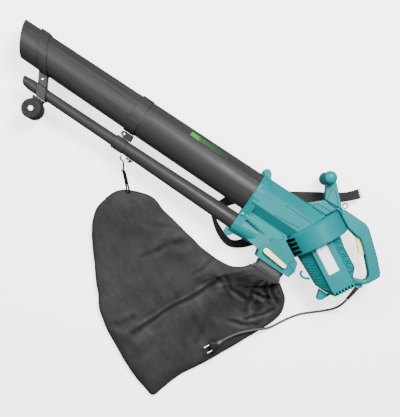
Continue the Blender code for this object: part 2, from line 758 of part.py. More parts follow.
def block_section(station, inset):
    a, left, block_left, block_right, right = station
    lower, upper, top = 22.0 - inset * 0.4, 44.0 - inset, BLOCK_HEIGHT - inset
    left, right = left + inset, right - inset
    block_left = max(block_left + inset, left + 2.0)
    block_right = min(block_right - inset, right - 2.0)
    half = [(left, lower), (block_left - 1.0, upper), (block_left + 3.0, top)]
    half += [(block_right - 3.0, top), (block_right + 1.0, upper), (right, lower)]
    points = half + [(b, -z) for b, z in reversed(half)]
    ring = []
    for b, z in points:
        x, y = motor_point(a, b)
        ring.append((x, y, z))
    return ring


def block(inset):
    stations = list(BLOCK_STATIONS)
    if inset:
        first, last = stations[0], stations[-1]
        stations[0] = (first[0] - 8.0, *first[1:])
        stations[-1] = (last[0] - inset, *last[1:])
    return skin([block_section(station, inset) for station in stations])


def body_shells(machine, motor):
    plate = tool("body_plate", prism_z(BODY_PLATE, -HANDLE_HALF, HANDLE_HALF), machine)
    bevel(plate, 5.0, 2, 50.0)
    slot = [
        (88.0, 72.0), (88.0, 50.0), (112.0, 40.0), (146.0, 20.0), (156.0, 34.0), (128.0, 62.0),
        (108.0, 74.0),
    ]
    inner = [
        ("block_space", block(WALL)),
        ("grip_space", prism_z(GRIP_CAVITY, -HANDLE_HALF + WALL, HANDLE_HALF - WALL)),
        ("trigger_slot", prism_z(slot, -7.5, 7.5)),
    ]
    tools = [tool(name, made, machine) for name, made in inner]
    for k in range(6):
        low = -33.0 + 9.6 * k
        notch = box((BLOCK_REAR - 11.0, low, 42.0), (BLOCK_REAR + 5.0, low + 5.0, 60.0))
        tools.append(tool("rear_vent_%d" % (k + 1), notch, motor))
    for side, name in ((1.0, "left"), (-1.0, "right")):
        shell = add_object("body_shell_" + name, block(0.0), TEAL, machine)
        combine(shell, plate, "UNION")
        for operand in tools:
            combine(shell, operand, "DIFFERENCE")
        combine(shell, half_space(name, side, machine), "INTERSECT")


def trigger_parts(machine):
    """Trigger on its pin in the grip, and the switch behind it."""
    x, y = TRIGGER_AXIS
    pivot = empty("trigger_pull", (x, y, 0.0), machine)
    outline = [
        (-7.0, -2.0), (-6.0, -12.0), (2.5, -19.5), (11.0, -28.0), (20.0, -38.0), (26.0, -44.3), (38.0, -44.0),
        (43.0, -37.0), (33.0, -25.0), (22.0, -13.0), (9.0, -3.0), (6.0, 3.0), (0.0, 6.0), (-6.0, 4.0),
    ]
    lever = add_object("trigger", prism_z(outline, -6.5, 6.5), CREAM, pivot)
    bore = prism_z(circle(2.4, 12), -10.0, 10.0)
    combine(lever, tool("trigger_bore", bore, pivot), "DIFFERENCE")
    pin = turned_upright(turned([(-13.0, 2.0), (13.0, 2.0)], 12, cyclic=False))
    add_object("trigger_pin", pin, STEEL, machine, at=(x, y, 0.0))
    body = [(142.0, 63.5), (159.0, 48.0), (168.0, 40.0), (158.0, 31.5), (145.0, 44.0), (134.0, 55.5)]
    add_object("switch_body", prism_z(body, -12.0, 12.0), BLACK, machine)


def auxiliary_handle(machine):
    outline = [
        (-35.5, 94.9), (18.5, 98.4), (13.0, 106.0), (-30.0, 149.0), (-42.0, 158.0), (-61.0, 150.0),
        (-55.0, 128.0),
    ]
    post = add_object("front_handle_post", prism_z(outline, -14.0, 14.0), TEAL, machine)
    bevel(post, 3.0, 2, 50.0)
    room = moved(prism_z(circle(GRIP_RADIUS + GAP, 24), -60.0, 60.0), (*GRIP_AXIS, 0.0))
    combine(post, tool("grip_room", room, machine), "DIFFERENCE")
    half = [(0.0, 16.6), (30.0, 17.0), (42.0, 15.6), (49.0, 10.5), (52.0, 4.0)]
    profile = [(-z, r) for z, r in reversed(half[1:])] + half
    grip = turned_upright(turned(profile, 24, cyclic=False))
    add_object("front_handle_grip", grip, TEAL, machine, at=(*GRIP_AXIS, 0.0))


def small_fittings(machine, motor):
    """Cable hook, rear foot, label, badge, screw and strap ring."""
    route = [
        (101.0, -72.8, 0.0), (97.0, -79.5, 0.0), (91.0, -86.5, 0.0), (83.0, -90.0, 0.0),
        (75.0, -88.0, 0.0), (71.5, -82.0, 0.0),
    ]
    wire("cable_hook", smooth_path(route, 3), 3.3, TEAL, motor)
    foot = [
        (137.5, -62.0), (150.0, -55.2), (162.0, -48.2), (167.0, -43.8), (168.5, -71.0), (164.0, -80.5),
        (157.5, -81.5),
    ]
    add_object("rear_foot", prism_z(foot, -13.0, 13.0), TEAL, motor)
    label = rounded_plate((28.5, -25.5), (110.0, 6.0), BLOCK_HEIGHT + GAP, BLOCK_HEIGHT + 1.0)
    add_object("rating_label", label, PALE, motor)
    badge_plate(machine)
    head = turned_upright(turned([(36.0, 3.4), (38.8, 3.2), (39.6, 1.8)], 12, cyclic=False))
    add_object("flange_screw", head, STEEL, machine, at=(-207.0, -66.5, 0.0))
    turns = [2.0 * math.pi * k / 16 for k in range(16)]
    ring = [(22.5 + 7.0 * math.cos(t), 113.4 + 7.0 * math.sin(t), 0.0) for t in turns]
    wire("strap_ring", ring, 1.7, STEEL, machine, closed=True)


def rounded_plate(low, high, bottom, top):
    mid = ((low[0] + high[0]) / 2.0, (low[1] + high[1]) / 2.0)
    outline = rounded_rectangle((high[0] - low[0]) / 2.0, (high[1] - low[1]) / 2.0, 2.0, 2)
    return prism_z([(mid[0] + u, mid[1] + v) for u, v in outline], bottom, top)


def badge_plate(machine):
    """Thin name-free badge on the suction tube's slanted flat."""
    seat = empty("badge_seat", (-388.0, 0.0, 0.0), machine)
    seat.rotation_euler = (math.radians(-45.0), 0.0, 0.0)
    seat_height = 54.0 * FLAT_STEP
    plate = rounded_plate((-62.0, -8.5), (62.0, 8.5), seat_height + 0.5, seat_height + 1.4)
    add_object("badge", plate, GREEN, seat)


# ---------------------------------------------------------------- bag


BAG_CENTRE = (-245.0, -372.0)
BAG_TOP = 54.0
BAG_CLOTH = 2.5
MOUTH_LEFT = (-106.0, -170.0)
MOUTH_RIGHT = (-11.0, -170.0)
MOUTH_HALF = 43.0

# Seam of the bag, from the right of the mouth clockwise to its left: X, Y, height over the floor
BAG_SEAM = [
    (-11.0, -170.0, 85.0), (14.0, -186.0, 66.0), (36.0, -206.0, 44.0), (48.0, -240.0, 26.0),
    (42.0, -278.0, 20.0), (10.0, -350.0, 18.0), (-54.0, -482.0, 16.0), (-94.0, -553.0, 14.0),
    (-113.0, -612.0, 12.0), (-124.0, -645.0, 11.0), (-150.0, -645.0, 11.0), (-247.0, -611.0, 13.0),
    (-368.0, -545.0, 15.0), (-430.0, -482.0, 16.0), (-504.0, -393.0, 18.0), (-546.0, -335.0, 18.0),
    (-562.0, -285.0, 18.0), (-552.0, -232.0, 20.0), (-524.0, -197.0, 24.0), (-454.0, -171.0, 26.0),
    (-400.0, -183.0, 26.0), (-350.0, -193.0, 28.0), (-235.0, -213.0, 36.0), (-160.0, -212.0, 50.0),
    (-122.0, -192.0, 68.0), (-106.0, -170.0, 85.0),
]


def bag_loop():
    """Columns round the bag: seam point, and the heights of the upper and lower edge there."""
    columns = [(x, y, z, z) for x, y, z in BAG_SEAM]
    middle = (MOUTH_LEFT[0] + MOUTH_RIGHT[0]) / 2.0
    half = (MOUTH_RIGHT[0] - MOUTH_LEFT[0]) / 2.0
    steps = 10
    for k in range(1, steps):
        turn = math.pi * k / steps
        x = middle - half * bulge(math.cos(turn))
        rise = MOUTH_HALF * abs(bulge(math.sin(turn)))
        columns.append((x, MOUTH_LEFT[1], MID_HEIGHT + rise, MID_HEIGHT - rise))
    return columns


def bulge(value):
    """Square-shouldered version of a sine or cosine."""
    return math.copysign(abs(value) ** 0.45, value)


def near_mouth(x, y):
    dx, dy = x + 58.0, y + 150.0
    return math.exp(-(dx * dx + dy * dy) / (80.0 * 80.0))


def fade(share, start):
    """Smooth rise from 0 at `start` to 1 at the seam."""
    t = min(1.0, max(0.0, (share - start) / (1.0 - start)))
    return t * t * (3.0 - 2.0 * t)


def bag_point(column, share, upper, inset):
    """Point of the bag at `share` of the way from its centre to the seam column."""
    x0, y0 = BAG_CENTRE
    x1, y1, high, low = column
    reach = share
    if inset and high == low:
        reach *= 1.0 - 7.0 / math.hypot(x1 - x0, y1 - y0)
    x, y = x0 + (x1 - x0) * reach, y0 + (y1 - y0) * reach
    seam = (high + low) / 2.0
    cloth = inset * (1.0 if high != low else 1.0 - share ** 8.0)
    if upper:
        dome = (1.0 - share ** 4.0) ** 0.6 * (1.0 - 0.2 * share)
        z = BAG_TOP * dome + seam * fade(share, 0.35) + (high - seam) * fade(share, 0.62)
        z += 16.0 * near_mouth(x, y) * (1.0 - share ** 4.0) - cloth
    else:
        z = seam * fade(share, 0.8 - seam / 200.0) - (seam - low) * fade(share, 0.62) + cloth
    return (x, y, z - MID_HEIGHT)


def collection_bag(machine):
    columns = bag_loop()
    count = len(columns)
    shares = (0.22, 0.45, 0.66, 0.82, 0.93, 1.0)
    made = bmesh.new()
    layers = {}
    for upper in (True, False):
        for inset in (0.0, BAG_CLOTH):
            centre = made.verts.new(bag_point(columns[0], 0.0, upper, inset))
            rings = []
            for share in shares:
                ring = [bag_point(column, share, upper, inset) for column in columns]
                rings.append([made.verts.new(point) for point in ring])
            layers[(upper, inset)] = (centre, rings)
    for centre, rings in layers.values():
        for k in range(count):
            n = (k + 1) % count
            made.faces.new((centre, rings[0][k], rings[0][n]))
            for inner, outer in zip(rings, rings[1:]):
                made.faces.new((inner[k], inner[n], outer[n], outer[k]))
    seam_count = len(BAG_SEAM)
    mouth = [seam_count - 1] + list(range(seam_count, count)) + [0]
    for upper in (True, False):
        outside, inside = layers[(upper, 0.0)][1][-1], layers[(upper, BAG_CLOTH)][1][-1]
        for first, second in zip(mouth, mouth[1:]):
            made.faces.new((outside[first], outside[second], inside[second], inside[first]))
    bmesh.ops.remove_doubles(made, verts=made.verts, dist=0.05)
    add_object("collection_bag", made, FABRIC, machine)


def bag_hanger(machine):
    """Wire hook on the lug, and the elastic loop that ties it to the bag."""
    hook = [
        (-580.0, -119.0, 0.0), (-581.5, -124.0, 0.0), (-577.5, -129.0, 0.0), (-571.0, -129.5, 0.0),
        (-566.5, -132.0, 0.0), (-560.0, -141.0, -3.0), (-556.5, -146.0, -4.0),
    ]
    wire("bag_hook", smooth_path(hook, 4), 1.1, STEEL, machine)
    loop = [
        (-552.5, -151.0, -7.0), (-543.0, -158.0, -14.0), (-526.0, -176.0, -30.0), (-509.0, -194.0, -46.0),
        (-514.0, -196.0, -47.0), (-520.0, -192.0, -45.0), (-537.0, -172.0, -28.0), (-551.0, -156.5, -12.0),
    ]
    wire("bag_elastic", loop, 1.0, WEBBING, machine, closed=True)


# ---------------------------------------------------------------- strap


# Middle line of the webbing: X, Y, height over the floor, and its lean from flat in degrees
STRAP_ROUTE = [
    (46.0, 172.0, 22.0, 35.0), (22.0, 146.0, 14.0, 40.0), (-8.0, 122.0, 9.0, 25.0),
    (-45.0, 98.0, 6.0, 12.0), (-95.0, 66.0, 5.0, 10.0), (-150.0, 30.0, 5.0, 8.0),
    (-205.0, -5.0, 5.0, 8.0), (-250.0, -45.0, 7.0, 25.0), (-274.0, -88.0, 12.0, 55.0),
    (-273.0, -111.0, 16.0, 70.0), (-256.0, -127.5, 17.0, 70.0), (-234.5, -141.0, 17.0, 60.0),
    (-210.5, -151.5, 16.0, 55.0), (-185.0, -154.5, 14.0, 50.0), (-161.0, -141.0, 11.0, 42.0),
    (-138.0, -114.0, 7.0, 20.0), (-116.0, -86.0, 5.0, 8.0), (-97.0, -59.0, 4.0, 5.0),
]
STRAP_WIDTH = 34.0
STRAP_THICKNESS = 2.4


def strap_section(route, turns, k):
    place = route[k]
    ahead = route[min(k + 1, len(route) - 1)]
    behind = route[max(k - 1, 0)]
    forward = (ahead - behind).normalized()
    level = Vector((-forward.y, forward.x, 0.0)).normalized()
    up = forward.cross(level).normalized()
    if up.z < 0.0:
        up = -up
    lean = math.radians(turns[k])
    wide = level * math.cos(lean) + up * math.sin(lean)
    thick = up * math.cos(lean) - level * math.sin(lean)
    half_w, half_t = STRAP_WIDTH / 2.0, STRAP_THICKNESS / 2.0
    corners = ((half_w, half_t), (-half_w, half_t), (-half_w, -half_t), (half_w, -half_t))
    return [place + wide * u + thick * v for u, v in corners]


def shoulder_strap(machine):
    points = [(x, y, z - MID_HEIGHT + lift(lean)) for x, y, z, lean in STRAP_ROUTE]
    route = smooth_path(points, 3)
    leans = smooth_path([(lean, 0.0, 0.0) for x, y, z, lean in STRAP_ROUTE], 3)
    turns = [value.x for value in leans]
    rings = [strap_section(route, turns, k) for k in range(len(route))]
    add_object("shoulder_strap", skin(rings), WEBBING, machine, smooth=False)


def lift(lean):
    """Height that a leaning strap needs over one that lies flat."""
    return STRAP_WIDTH / 2.0 * math.sin(math.radians(lean)) * 0.5


# ---------------------------------------------------------------- cord and plug


RELIEF_START = (178.5, -58.5, 0.0)
RELIEF_END = (174.5, -103.0, -6.0)

CORD_ROUTE = [
    (174.3, -104.9, -6.6), (174.0, -112.0, -11.0), (173.8, -121.0, -21.0), (173.0, -132.0, -38.0),
    (169.0, -145.0, -57.0), (159.5, -159.0, -71.5), (144.0, -175.0, -79.5), (126.5, -191.0, -81.3),
    (101.5, -214.0, -81.3), (80.5, -242.0, -81.3), (65.5, -267.0, -80.5), (53.5, -287.0, -76.0),
    (42.0, -300.5, -65.5), (29.0, -310.5, -55.5), (15.0, -320.5, -49.5), (3.0, -331.0, -44.5),
    (-10.0, -343.0, -41.0), (-24.0, -358.5, -39.0), (-37.5, -378.0, -36.3), (-46.0, -392.0, -33.8),
    (-50.2, -400.6, -32.5),
]

PLUG_AT = (-50.6, -401.4, -32.5)
PLUG_TURN = -115.5


def cord_parts(machine):
    gland = [(168.0, -55.6), (187.5, -44.4), (188.0, -52.0), (184.0, -57.6), (173.0, -57.6)]
    add_object("cable_gland", prism_z(gland, -9.0, 9.0), TEAL, machine)
    start, end = Vector(RELIEF_START), Vector(RELIEF_END)
    rings = []
    for k in range(6):
        share = k / 5.0
        place = start.lerp(end, share)
        place.z = start.z + (end.z - start.z) * share * share
        radius = 7.2 - 2.6 * share
        rings.append([(place.x + u, place.y, place.z + v) for u, v in circle(radius, 14)])
    add_object("strain_relief", skin(rings), RUBBER, machine)
    wire("mains_cord", smooth_path(CORD_ROUTE, 3), CORD_DIAMETER / 2.0, RUBBER, machine)
    seat = empty("plug_seat", PLUG_AT, machine, PLUG_TURN)
    sleeve = turned([(0.0, 4.6), (12.0, 6.4)], 14, cyclic=False)
    add_object("plug_sleeve", sleeve, PLUG_GREY, seat)
    rings = []
    for x, half_y, half_z in ((12.4, 9.0, 6.6), (18.0, 13.0, 7.2), (34.0, 15.5, 7.2), (36.0, 14.8, 6.8)):
        rings.append([(x, u, v) for u, v in rounded_rectangle(half_y, half_z, 5.0)])
    add_object("plug_body", skin(rings), PLUG_GREY, seat)
    for name, y in (("left", 8.8), ("right", -8.8)):
        pin = turned([(36.3, 2.4), (53.0, 2.2), (54.8, 1.2)], 12, cyclic=False)
        add_object("plug_pin_" + name, moved(pin, (0.0, y, 0.0)), STEEL, seat)


def main():
    clear_scene()
    machine = empty("machine", (0.0, 0.0, MID_HEIGHT))
    motor = empty("motor_line", (0.0, 0.0, 0.0), machine, -AXIS_TILT)
    suction_tubes(machine)
    blower_tubes(machine)
    blower_nozzle(machine)
    front_clamp(machine)
    wheel_set(machine)
    tube_brackets(machine)
    duct_shells(machine, motor)
    bag_adapter(machine)
    selector(machine)
    fan_casing(motor)
    impeller(motor)
    motor_parts(motor)
    body_shells(machine, motor)
    trigger_parts(machine)
    auxiliary_handle(machine)
    small_fittings(machine, motor)
    collection_bag(machine)
    bag_hanger(machine)
    shoulder_strap(machine)
    cord_parts(machine)


main()
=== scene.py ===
"""Looks of the leaf blower: paints, cloth, webbing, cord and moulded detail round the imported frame.

Points in the lists are millimetres in the machine's own frame: X along the tubes, Y to the machine's
upper side, and heights from its mid-plane, which is MID_HEIGHT above the floor.
"""

import math

import bmesh
import bpy
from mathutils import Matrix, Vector, noise
from mathutils.bvhtree import BVHTree


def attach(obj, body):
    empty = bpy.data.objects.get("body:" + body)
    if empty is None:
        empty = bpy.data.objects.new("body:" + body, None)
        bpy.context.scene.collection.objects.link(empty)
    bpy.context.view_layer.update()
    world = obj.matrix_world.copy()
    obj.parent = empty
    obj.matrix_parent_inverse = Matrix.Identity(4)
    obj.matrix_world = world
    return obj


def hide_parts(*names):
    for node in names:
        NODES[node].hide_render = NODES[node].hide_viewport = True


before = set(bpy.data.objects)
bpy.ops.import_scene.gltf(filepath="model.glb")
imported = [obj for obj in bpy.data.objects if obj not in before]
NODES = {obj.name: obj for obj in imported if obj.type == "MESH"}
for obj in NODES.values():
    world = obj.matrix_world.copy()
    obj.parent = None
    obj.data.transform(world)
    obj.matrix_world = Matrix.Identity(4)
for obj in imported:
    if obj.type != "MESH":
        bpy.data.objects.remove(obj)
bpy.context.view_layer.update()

MM = 0.001
SHARP = 19.0              # degrees; a sharper fold than this between faces is an edge
MID_HEIGHT = 85.0
AXIS_TILT = 28.8          # degrees between the tubes and the motor axis
TILT_COS = math.cos(math.radians(AXIS_TILT))
TILT_SIN = math.sin(math.radians(AXIS_TILT))


def show(name, data):
    """Object with the given data, linked into the scene."""
    item = bpy.data.objects.new(name, data)
    bpy.context.scene.collection.objects.link(item)
    return item


def fill_in(node, values):
    """Uniform values on a node's own sockets."""
    for key, value in values.items():
        node.inputs[key].default_value = value


# ---------------------------------------------------------------- camera, light and floor

EYE = (-0.3138, -0.1203, 2.285)
EYE_TURN = 33.8           # degrees
FOCAL_LENGTH = 67.3
LIT_CENTRE = (-0.35, -0.15, 0.05)
SKY_STRENGTH = 0.24
FLOOR_HALF = 16.0
FLOOR_DROP = -0.0006      # keeps the floor just under the facets that rest on it
FLOOR_GLOW = 2.2


def camera():
    """Camera over the machine, looking straight down."""
    lens = bpy.data.cameras.new("camera")
    lens.lens = FOCAL_LENGTH
    lens.sensor_width = 36.0
    lens.clip_end = 20.0
    eye = show("camera", lens)
    eye.location = EYE
    eye.rotation_euler = (0.0, 0.0, math.radians(EYE_TURN))
    bpy.context.scene.camera = eye


def area_light(name, place, size, power):
    """Square soft box aimed at the machine."""
    lamp = bpy.data.lights.new(name, "AREA")
    lamp.shape = "SQUARE"
    lamp.size = size
    lamp.energy = power
    holder = show(name, lamp)
    holder.location = place
    aim = Vector(LIT_CENTRE) - Vector(place)
    holder.rotation_euler = aim.to_track_quat("-Z", "Y").to_euler()


def studio():
    """Key light over the machine's upper side, fill beyond the tubes' ends, and an even sky."""
    area_light("key", (-0.15, 1.15, 2.35), 0.9, 168.0)
    area_light("fill", (-1.55, 0.0, 1.75), 1.2, 46.0)
    world = bpy.data.worlds.new("studio")
    world.use_nodes = True
    sky = world.node_tree.nodes["Background"]
    fill_in(sky, {"Color": (1.0, 1.0, 1.0, 1.0), "Strength": SKY_STRENGTH})
    bpy.context.scene.world = world


def floor():
    """Pale floor that glows for the camera but lights nothing."""
    made = bmesh.new()
    bmesh.ops.create_grid(made, x_segments=1, y_segments=1, size=FLOOR_HALF)
    mesh = bpy.data.meshes.new("floor")
    made.to_mesh(mesh)
    made.free()
    paint = bpy.data.materials.new("floor_white")
    paint.use_nodes = True
    fill_in(paint.node_tree.nodes["Principled BSDF"], {
        "Base Color": (0.93, 0.93, 0.93, 1.0), "Roughness": 0.9,
        "Emission Color": (1.0, 1.0, 1.0, 1.0), "Emission Strength": FLOOR_GLOW,
    })
    mesh.materials.append(paint)
    ground = show("floor", mesh)
    ground.location = (-0.3, -0.2, FLOOR_DROP)
    ground.visible_diffuse = False
    ground.visible_glossy = False


# ---------------------------------------------------------------- paints


class Paint:
    """A Principled material with room for a few texture nodes."""

    def __init__(self, name, roughness, metallic=0.0):
        self.material = bpy.data.materials.new(name)
        self.material.use_nodes = True
        self.tree = self.material.node_tree
        self.shader = self.tree.nodes["Principled BSDF"]
        fill_in(self.shader, {"Roughness": roughness, "Metallic": metallic})
        self.place = self.tree.nodes.new("ShaderNodeTexCoord").outputs["Object"]

    def node(self, kind, sockets=None, **values):
        """New node with some socket values and settings."""
        made = self.tree.nodes.new(kind)
        for key, value in values.items():
            setattr(made, key, value)
        fill_in(made, sockets or {})
        return made

    def join(self, source, target):
        self.tree.links.new(source, target)

    def stretched(self, scale, turn=(0.0, 0.0, 0.0)):
        """Object coordinates, turned and then stretched."""
        turn = [math.radians(a) for a in turn]
        mapping = self.node("ShaderNodeMapping", {"Rotation": turn, "Scale": scale})
        self.join(self.place, mapping.inputs["Vector"])
        return mapping.outputs["Vector"]

    def noise(self, scale, detail=3.0, vector=None, roughness=0.55):
        made = self.node("ShaderNodeTexNoise", {"Scale": scale, "Detail": detail, "Roughness": roughness})
        self.join(vector or self.place, made.inputs["Vector"])
        return made.outputs["Fac"]

    def ramp(self, value, stops):
        """Colours, or single greys, that a value runs through."""
        made = self.node("ShaderNodeValToRGB")
        points = made.color_ramp.elements
        while len(points) < len(stops):
            points.new(0.5)
        for point, (at, colour) in zip(points, stops):
            point.position = at
            point.color = (*(colour if isinstance(colour, tuple) else (colour,) * 3), 1.0)
        self.join(value, made.inputs["Fac"])
        return made.outputs["Color"]

    def mix(self, factor, first, second, blend="MIX"):
        """Mix of two colours, each a socket or a plain value."""
        made = self.node("ShaderNodeMix", data_type="RGBA", blend_type=blend)
        for socket, value in zip((made.inputs[0], made.inputs[6], made.inputs[7]), (factor, first, second)):
            if isinstance(value, (float, tuple)):
                socket.default_value = value
            else:
                self.join(value, socket)
        return made.outputs[2]

    def weave(self, scale, turn, detail_scale=1.0):
        """Two sets of threads that cross."""
        threads = []
        values = {"Scale": scale, "Distortion": 0.6, "Detail": 1.0, "Detail Scale": detail_scale}
        for direction in ("X", "Y"):
            made = self.node("ShaderNodeTexWave", values, wave_type="BANDS", bands_direction=direction)
            self.join(self.stretched((1.0, 1.0, 1.0), (0.0, 0.0, turn)), made.inputs["Vector"])
            threads.append(made.outputs["Color"])
        return self.mix(0.5, threads[0], threads[1], "DIFFERENCE")

    def shift(self, value, low, high):
        """Noise value turned into one from low to high."""
        values = {"From Min": 0.3, "From Max": 0.7, "To Min": low, "To Max": high}
        made = self.node("ShaderNodeMapRange", values)
        self.join(value, made.inputs["Value"])
        return made.outputs["Result"]

    def bump(self, height, distance, strength=1.0, onto=None):
        made = self.node("ShaderNodeBump", {"Strength": strength, "Distance": distance})
        self.join(height, made.inputs["Height"])
        if onto is not None:
            self.join(onto, made.inputs["Normal"])
        return made.outputs["Normal"]

    def finish(self, colour=None, roughness=None, normal=None):
        if colour is not None:
            self.join(colour, self.shader.inputs["Base Color"])
        if roughness is not None:
            self.join(roughness, self.shader.inputs["Roughness"])
        if normal is not None:
            self.join(normal, self.shader.inputs["Normal"])
        return self.material


def scaled(colour, factor):
    """Colour made lighter or darker."""
    return tuple(min(1.0, value * factor) for value in colour)


def moulded(name, colour, roughness, grain=0.00006, spread=0.10, coat=0.0):
    """Moulded plastic: slow colour drift, fine spark-eroded grain and faint handling marks."""
    paint = Paint(name, roughness)
    drift = paint.noise(7.0, 2.0)
    base = paint.ramp(drift, [(0.32, scaled(colour, 1.0 - spread)), (0.68, scaled(colour, 1.0 + spread))])
    scuff = paint.noise(26.0, 6.0, paint.stretched((1.0, 3.5, 1.0), (0.0, 0.0, 31.0)), 0.7)
    marks = paint.ramp(scuff, [(0.60, 0.0), (0.74, 0.22)])
    worn = paint.mix(marks, base, (*scaled(colour, 1.35), 1.0))
    gloss = paint.shift(paint.noise(40.0, 4.0), roughness - 0.05, roughness + 0.07)
    fine = paint.bump(paint.noise(1500.0, 2.0), grain)
    fill_in(paint.shader, {"Coat Weight": coat, "Coat Roughness": 0.25, "Specular IOR Level": 0.17})
    return paint.finish(worn, gloss, fine)


def tube_plastic(name, colour, roughness):
    """Extruded grey plastic with faint lengthwise flow lines."""
    paint = Paint(name, roughness)
    fill_in(paint.shader, {"Specular IOR Level": 0.14})
    flow = paint.noise(5.0, 4.0, paint.stretched((1.0, 26.0, 26.0)), 0.6)
    base = paint.ramp(flow, [(0.35, scaled(colour, 0.86)), (0.65, scaled(colour, 1.16))])
    dust = paint.noise(170.0, 5.0, None, 0.75)
    specks = paint.ramp(dust, [(0.66, 0.0), (0.78, 0.10)])
    dusty = paint.mix(specks, base, (0.25, 0.24, 0.22, 1.0))
    gloss = paint.shift(paint.noise(14.0, 3.0), roughness - 0.06, roughness + 0.08)
    grain = paint.bump(paint.noise(1100.0, 2.0), 0.00008)
    lines = paint.bump(flow, 0.0004, 0.5, grain)
    return paint.finish(dusty, gloss, lines)


def woven(name, colour, pitch, roughness, depth, spread=0.18, turn=0.0, sheen=0.25):
    """Plain weave: two sets of threads, with faded and darker patches."""
    paint = Paint(name, roughness)
    weave = paint.weave(math.pi * 2.0 / pitch / 20.0, turn, 2.0)
    patches = paint.noise(5.5, 5.0, None, 0.62)
    base = paint.ramp(patches, [(0.30, scaled(colour, 1.0 - spread)), (0.70, scaled(colour, 1.0 + spread))])
    fuzz = paint.ramp(paint.noise(420.0, 3.0), [(0.30, 0.78), (0.72, 1.0)])
    toned = paint.mix(1.0, base, fuzz, "MULTIPLY")
    shaded = paint.mix(0.35, toned, weave, "MULTIPLY")
    coarse = paint.bump(paint.noise(60.0, 5.0), 0.0008, 0.5)
    cloth = paint.bump(weave, depth, 0.8, coarse)
    fill_in(paint.shader, {"Sheen Weight": sheen, "Sheen Roughness": 0.6})
    return paint.finish(shaded, None, cloth)


def metal(name, colour, roughness):
    """Brushed metal."""
    paint = Paint(name, roughness, 1.0)
    brushed = paint.noise(90.0, 3.0, paint.stretched((1.0, 14.0, 1.0)))
    base = paint.ramp(brushed, [(0.3, scaled(colour, 0.85)), (0.7, scaled(colour, 1.1))])
    gloss = paint.shift(brushed, roughness - 0.06, roughness + 0.12)
    return paint.finish(base, gloss, paint.bump(brushed, 0.00004))


def faded_badge():
    """Green at its front end, fading to the tube's grey along its length."""
    front, rear = -0.450, -0.326
    paint = Paint("badge_fade", 0.34)
    run = paint.node("ShaderNodeSeparateXYZ")
    paint.join(paint.place, run.inputs["Vector"])
    share = paint.node("ShaderNodeMapRange", {"From Min": front, "From Max": rear})
    paint.join(run.outputs["X"], share.inputs["Value"])
    bands = paint.ramp(share.outputs["Result"], [
        (0.0, (0.045, 0.260, 0.035)), (0.17, (0.042, 0.240, 0.032)), (0.26, (0.030, 0.090, 0.026)),
        (0.62, (0.022, 0.055, 0.026)), (1.0, (0.020, 0.026, 0.023)),
    ])
    specks = paint.noise(240.0, 3.0)
    tone = paint.ramp(specks, [(0.35, 0.82), (0.65, 1.0)])
    return paint.finish(paint.mix(1.0, bands, tone, "MULTIPLY"), None, paint.bump(specks, 0.00003))


def bag_weave():
    """Charcoal plain weave, darker where the crease attribute says it is folded inwards, which is painted
    shade, and paler where it is folded outwards, which is wear and painted highlight.
    """
    paint = Paint("bag_weave", 0.82)
    weave = paint.weave(290.0, 27.0)
    patches = paint.noise(6.0, 6.0, None, 0.62)
    base = paint.ramp(patches, [(0.32, (0.026, 0.026, 0.0263)), (0.68, (0.055, 0.055, 0.0555))])
    fuzz = paint.ramp(paint.noise(300.0, 4.0), [(0.30, 0.72), (0.72, 1.0)])
    toned = paint.mix(1.0, base, fuzz, "MULTIPLY")
    fold = paint.node("ShaderNodeAttribute", attribute_name="crease").outputs["Fac"]
    # painted shade: the inward folds are darkened
    painted_fold_shade = paint.ramp(fold, [(0.06, 0.42), (0.46, 1.0)])
    # the outward folds are lightened: wear, and painted highlight
    rubbed_and_highlit = paint.ramp(fold, [(0.55, 0.0), (1.0, 0.36)])
    folded = paint.mix(rubbed_and_highlit, paint.mix(1.0, toned, painted_fold_shade, "MULTIPLY"), (0.105, 0.105, 0.106, 1.0))
    shaded = paint.mix(0.35, folded, weave, "MULTIPLY")
    lint = paint.ramp(paint.noise(95.0, 8.0, None, 0.8), [(0.62, 0.0), (0.76, 0.5)])
    dusted = paint.mix(lint, shaded, (0.080, 0.080, 0.081, 1.0))
    coarse = paint.bump(paint.noise(55.0, 5.0), 0.0010, 0.6)
    fill_in(paint.shader, {"Specular IOR Level": 0.08, "Sheen Weight": 0.03, "Sheen Roughness": 0.6})
    return paint.finish(dusted, None, paint.bump(weave, 0.00035, 0.8, coarse))


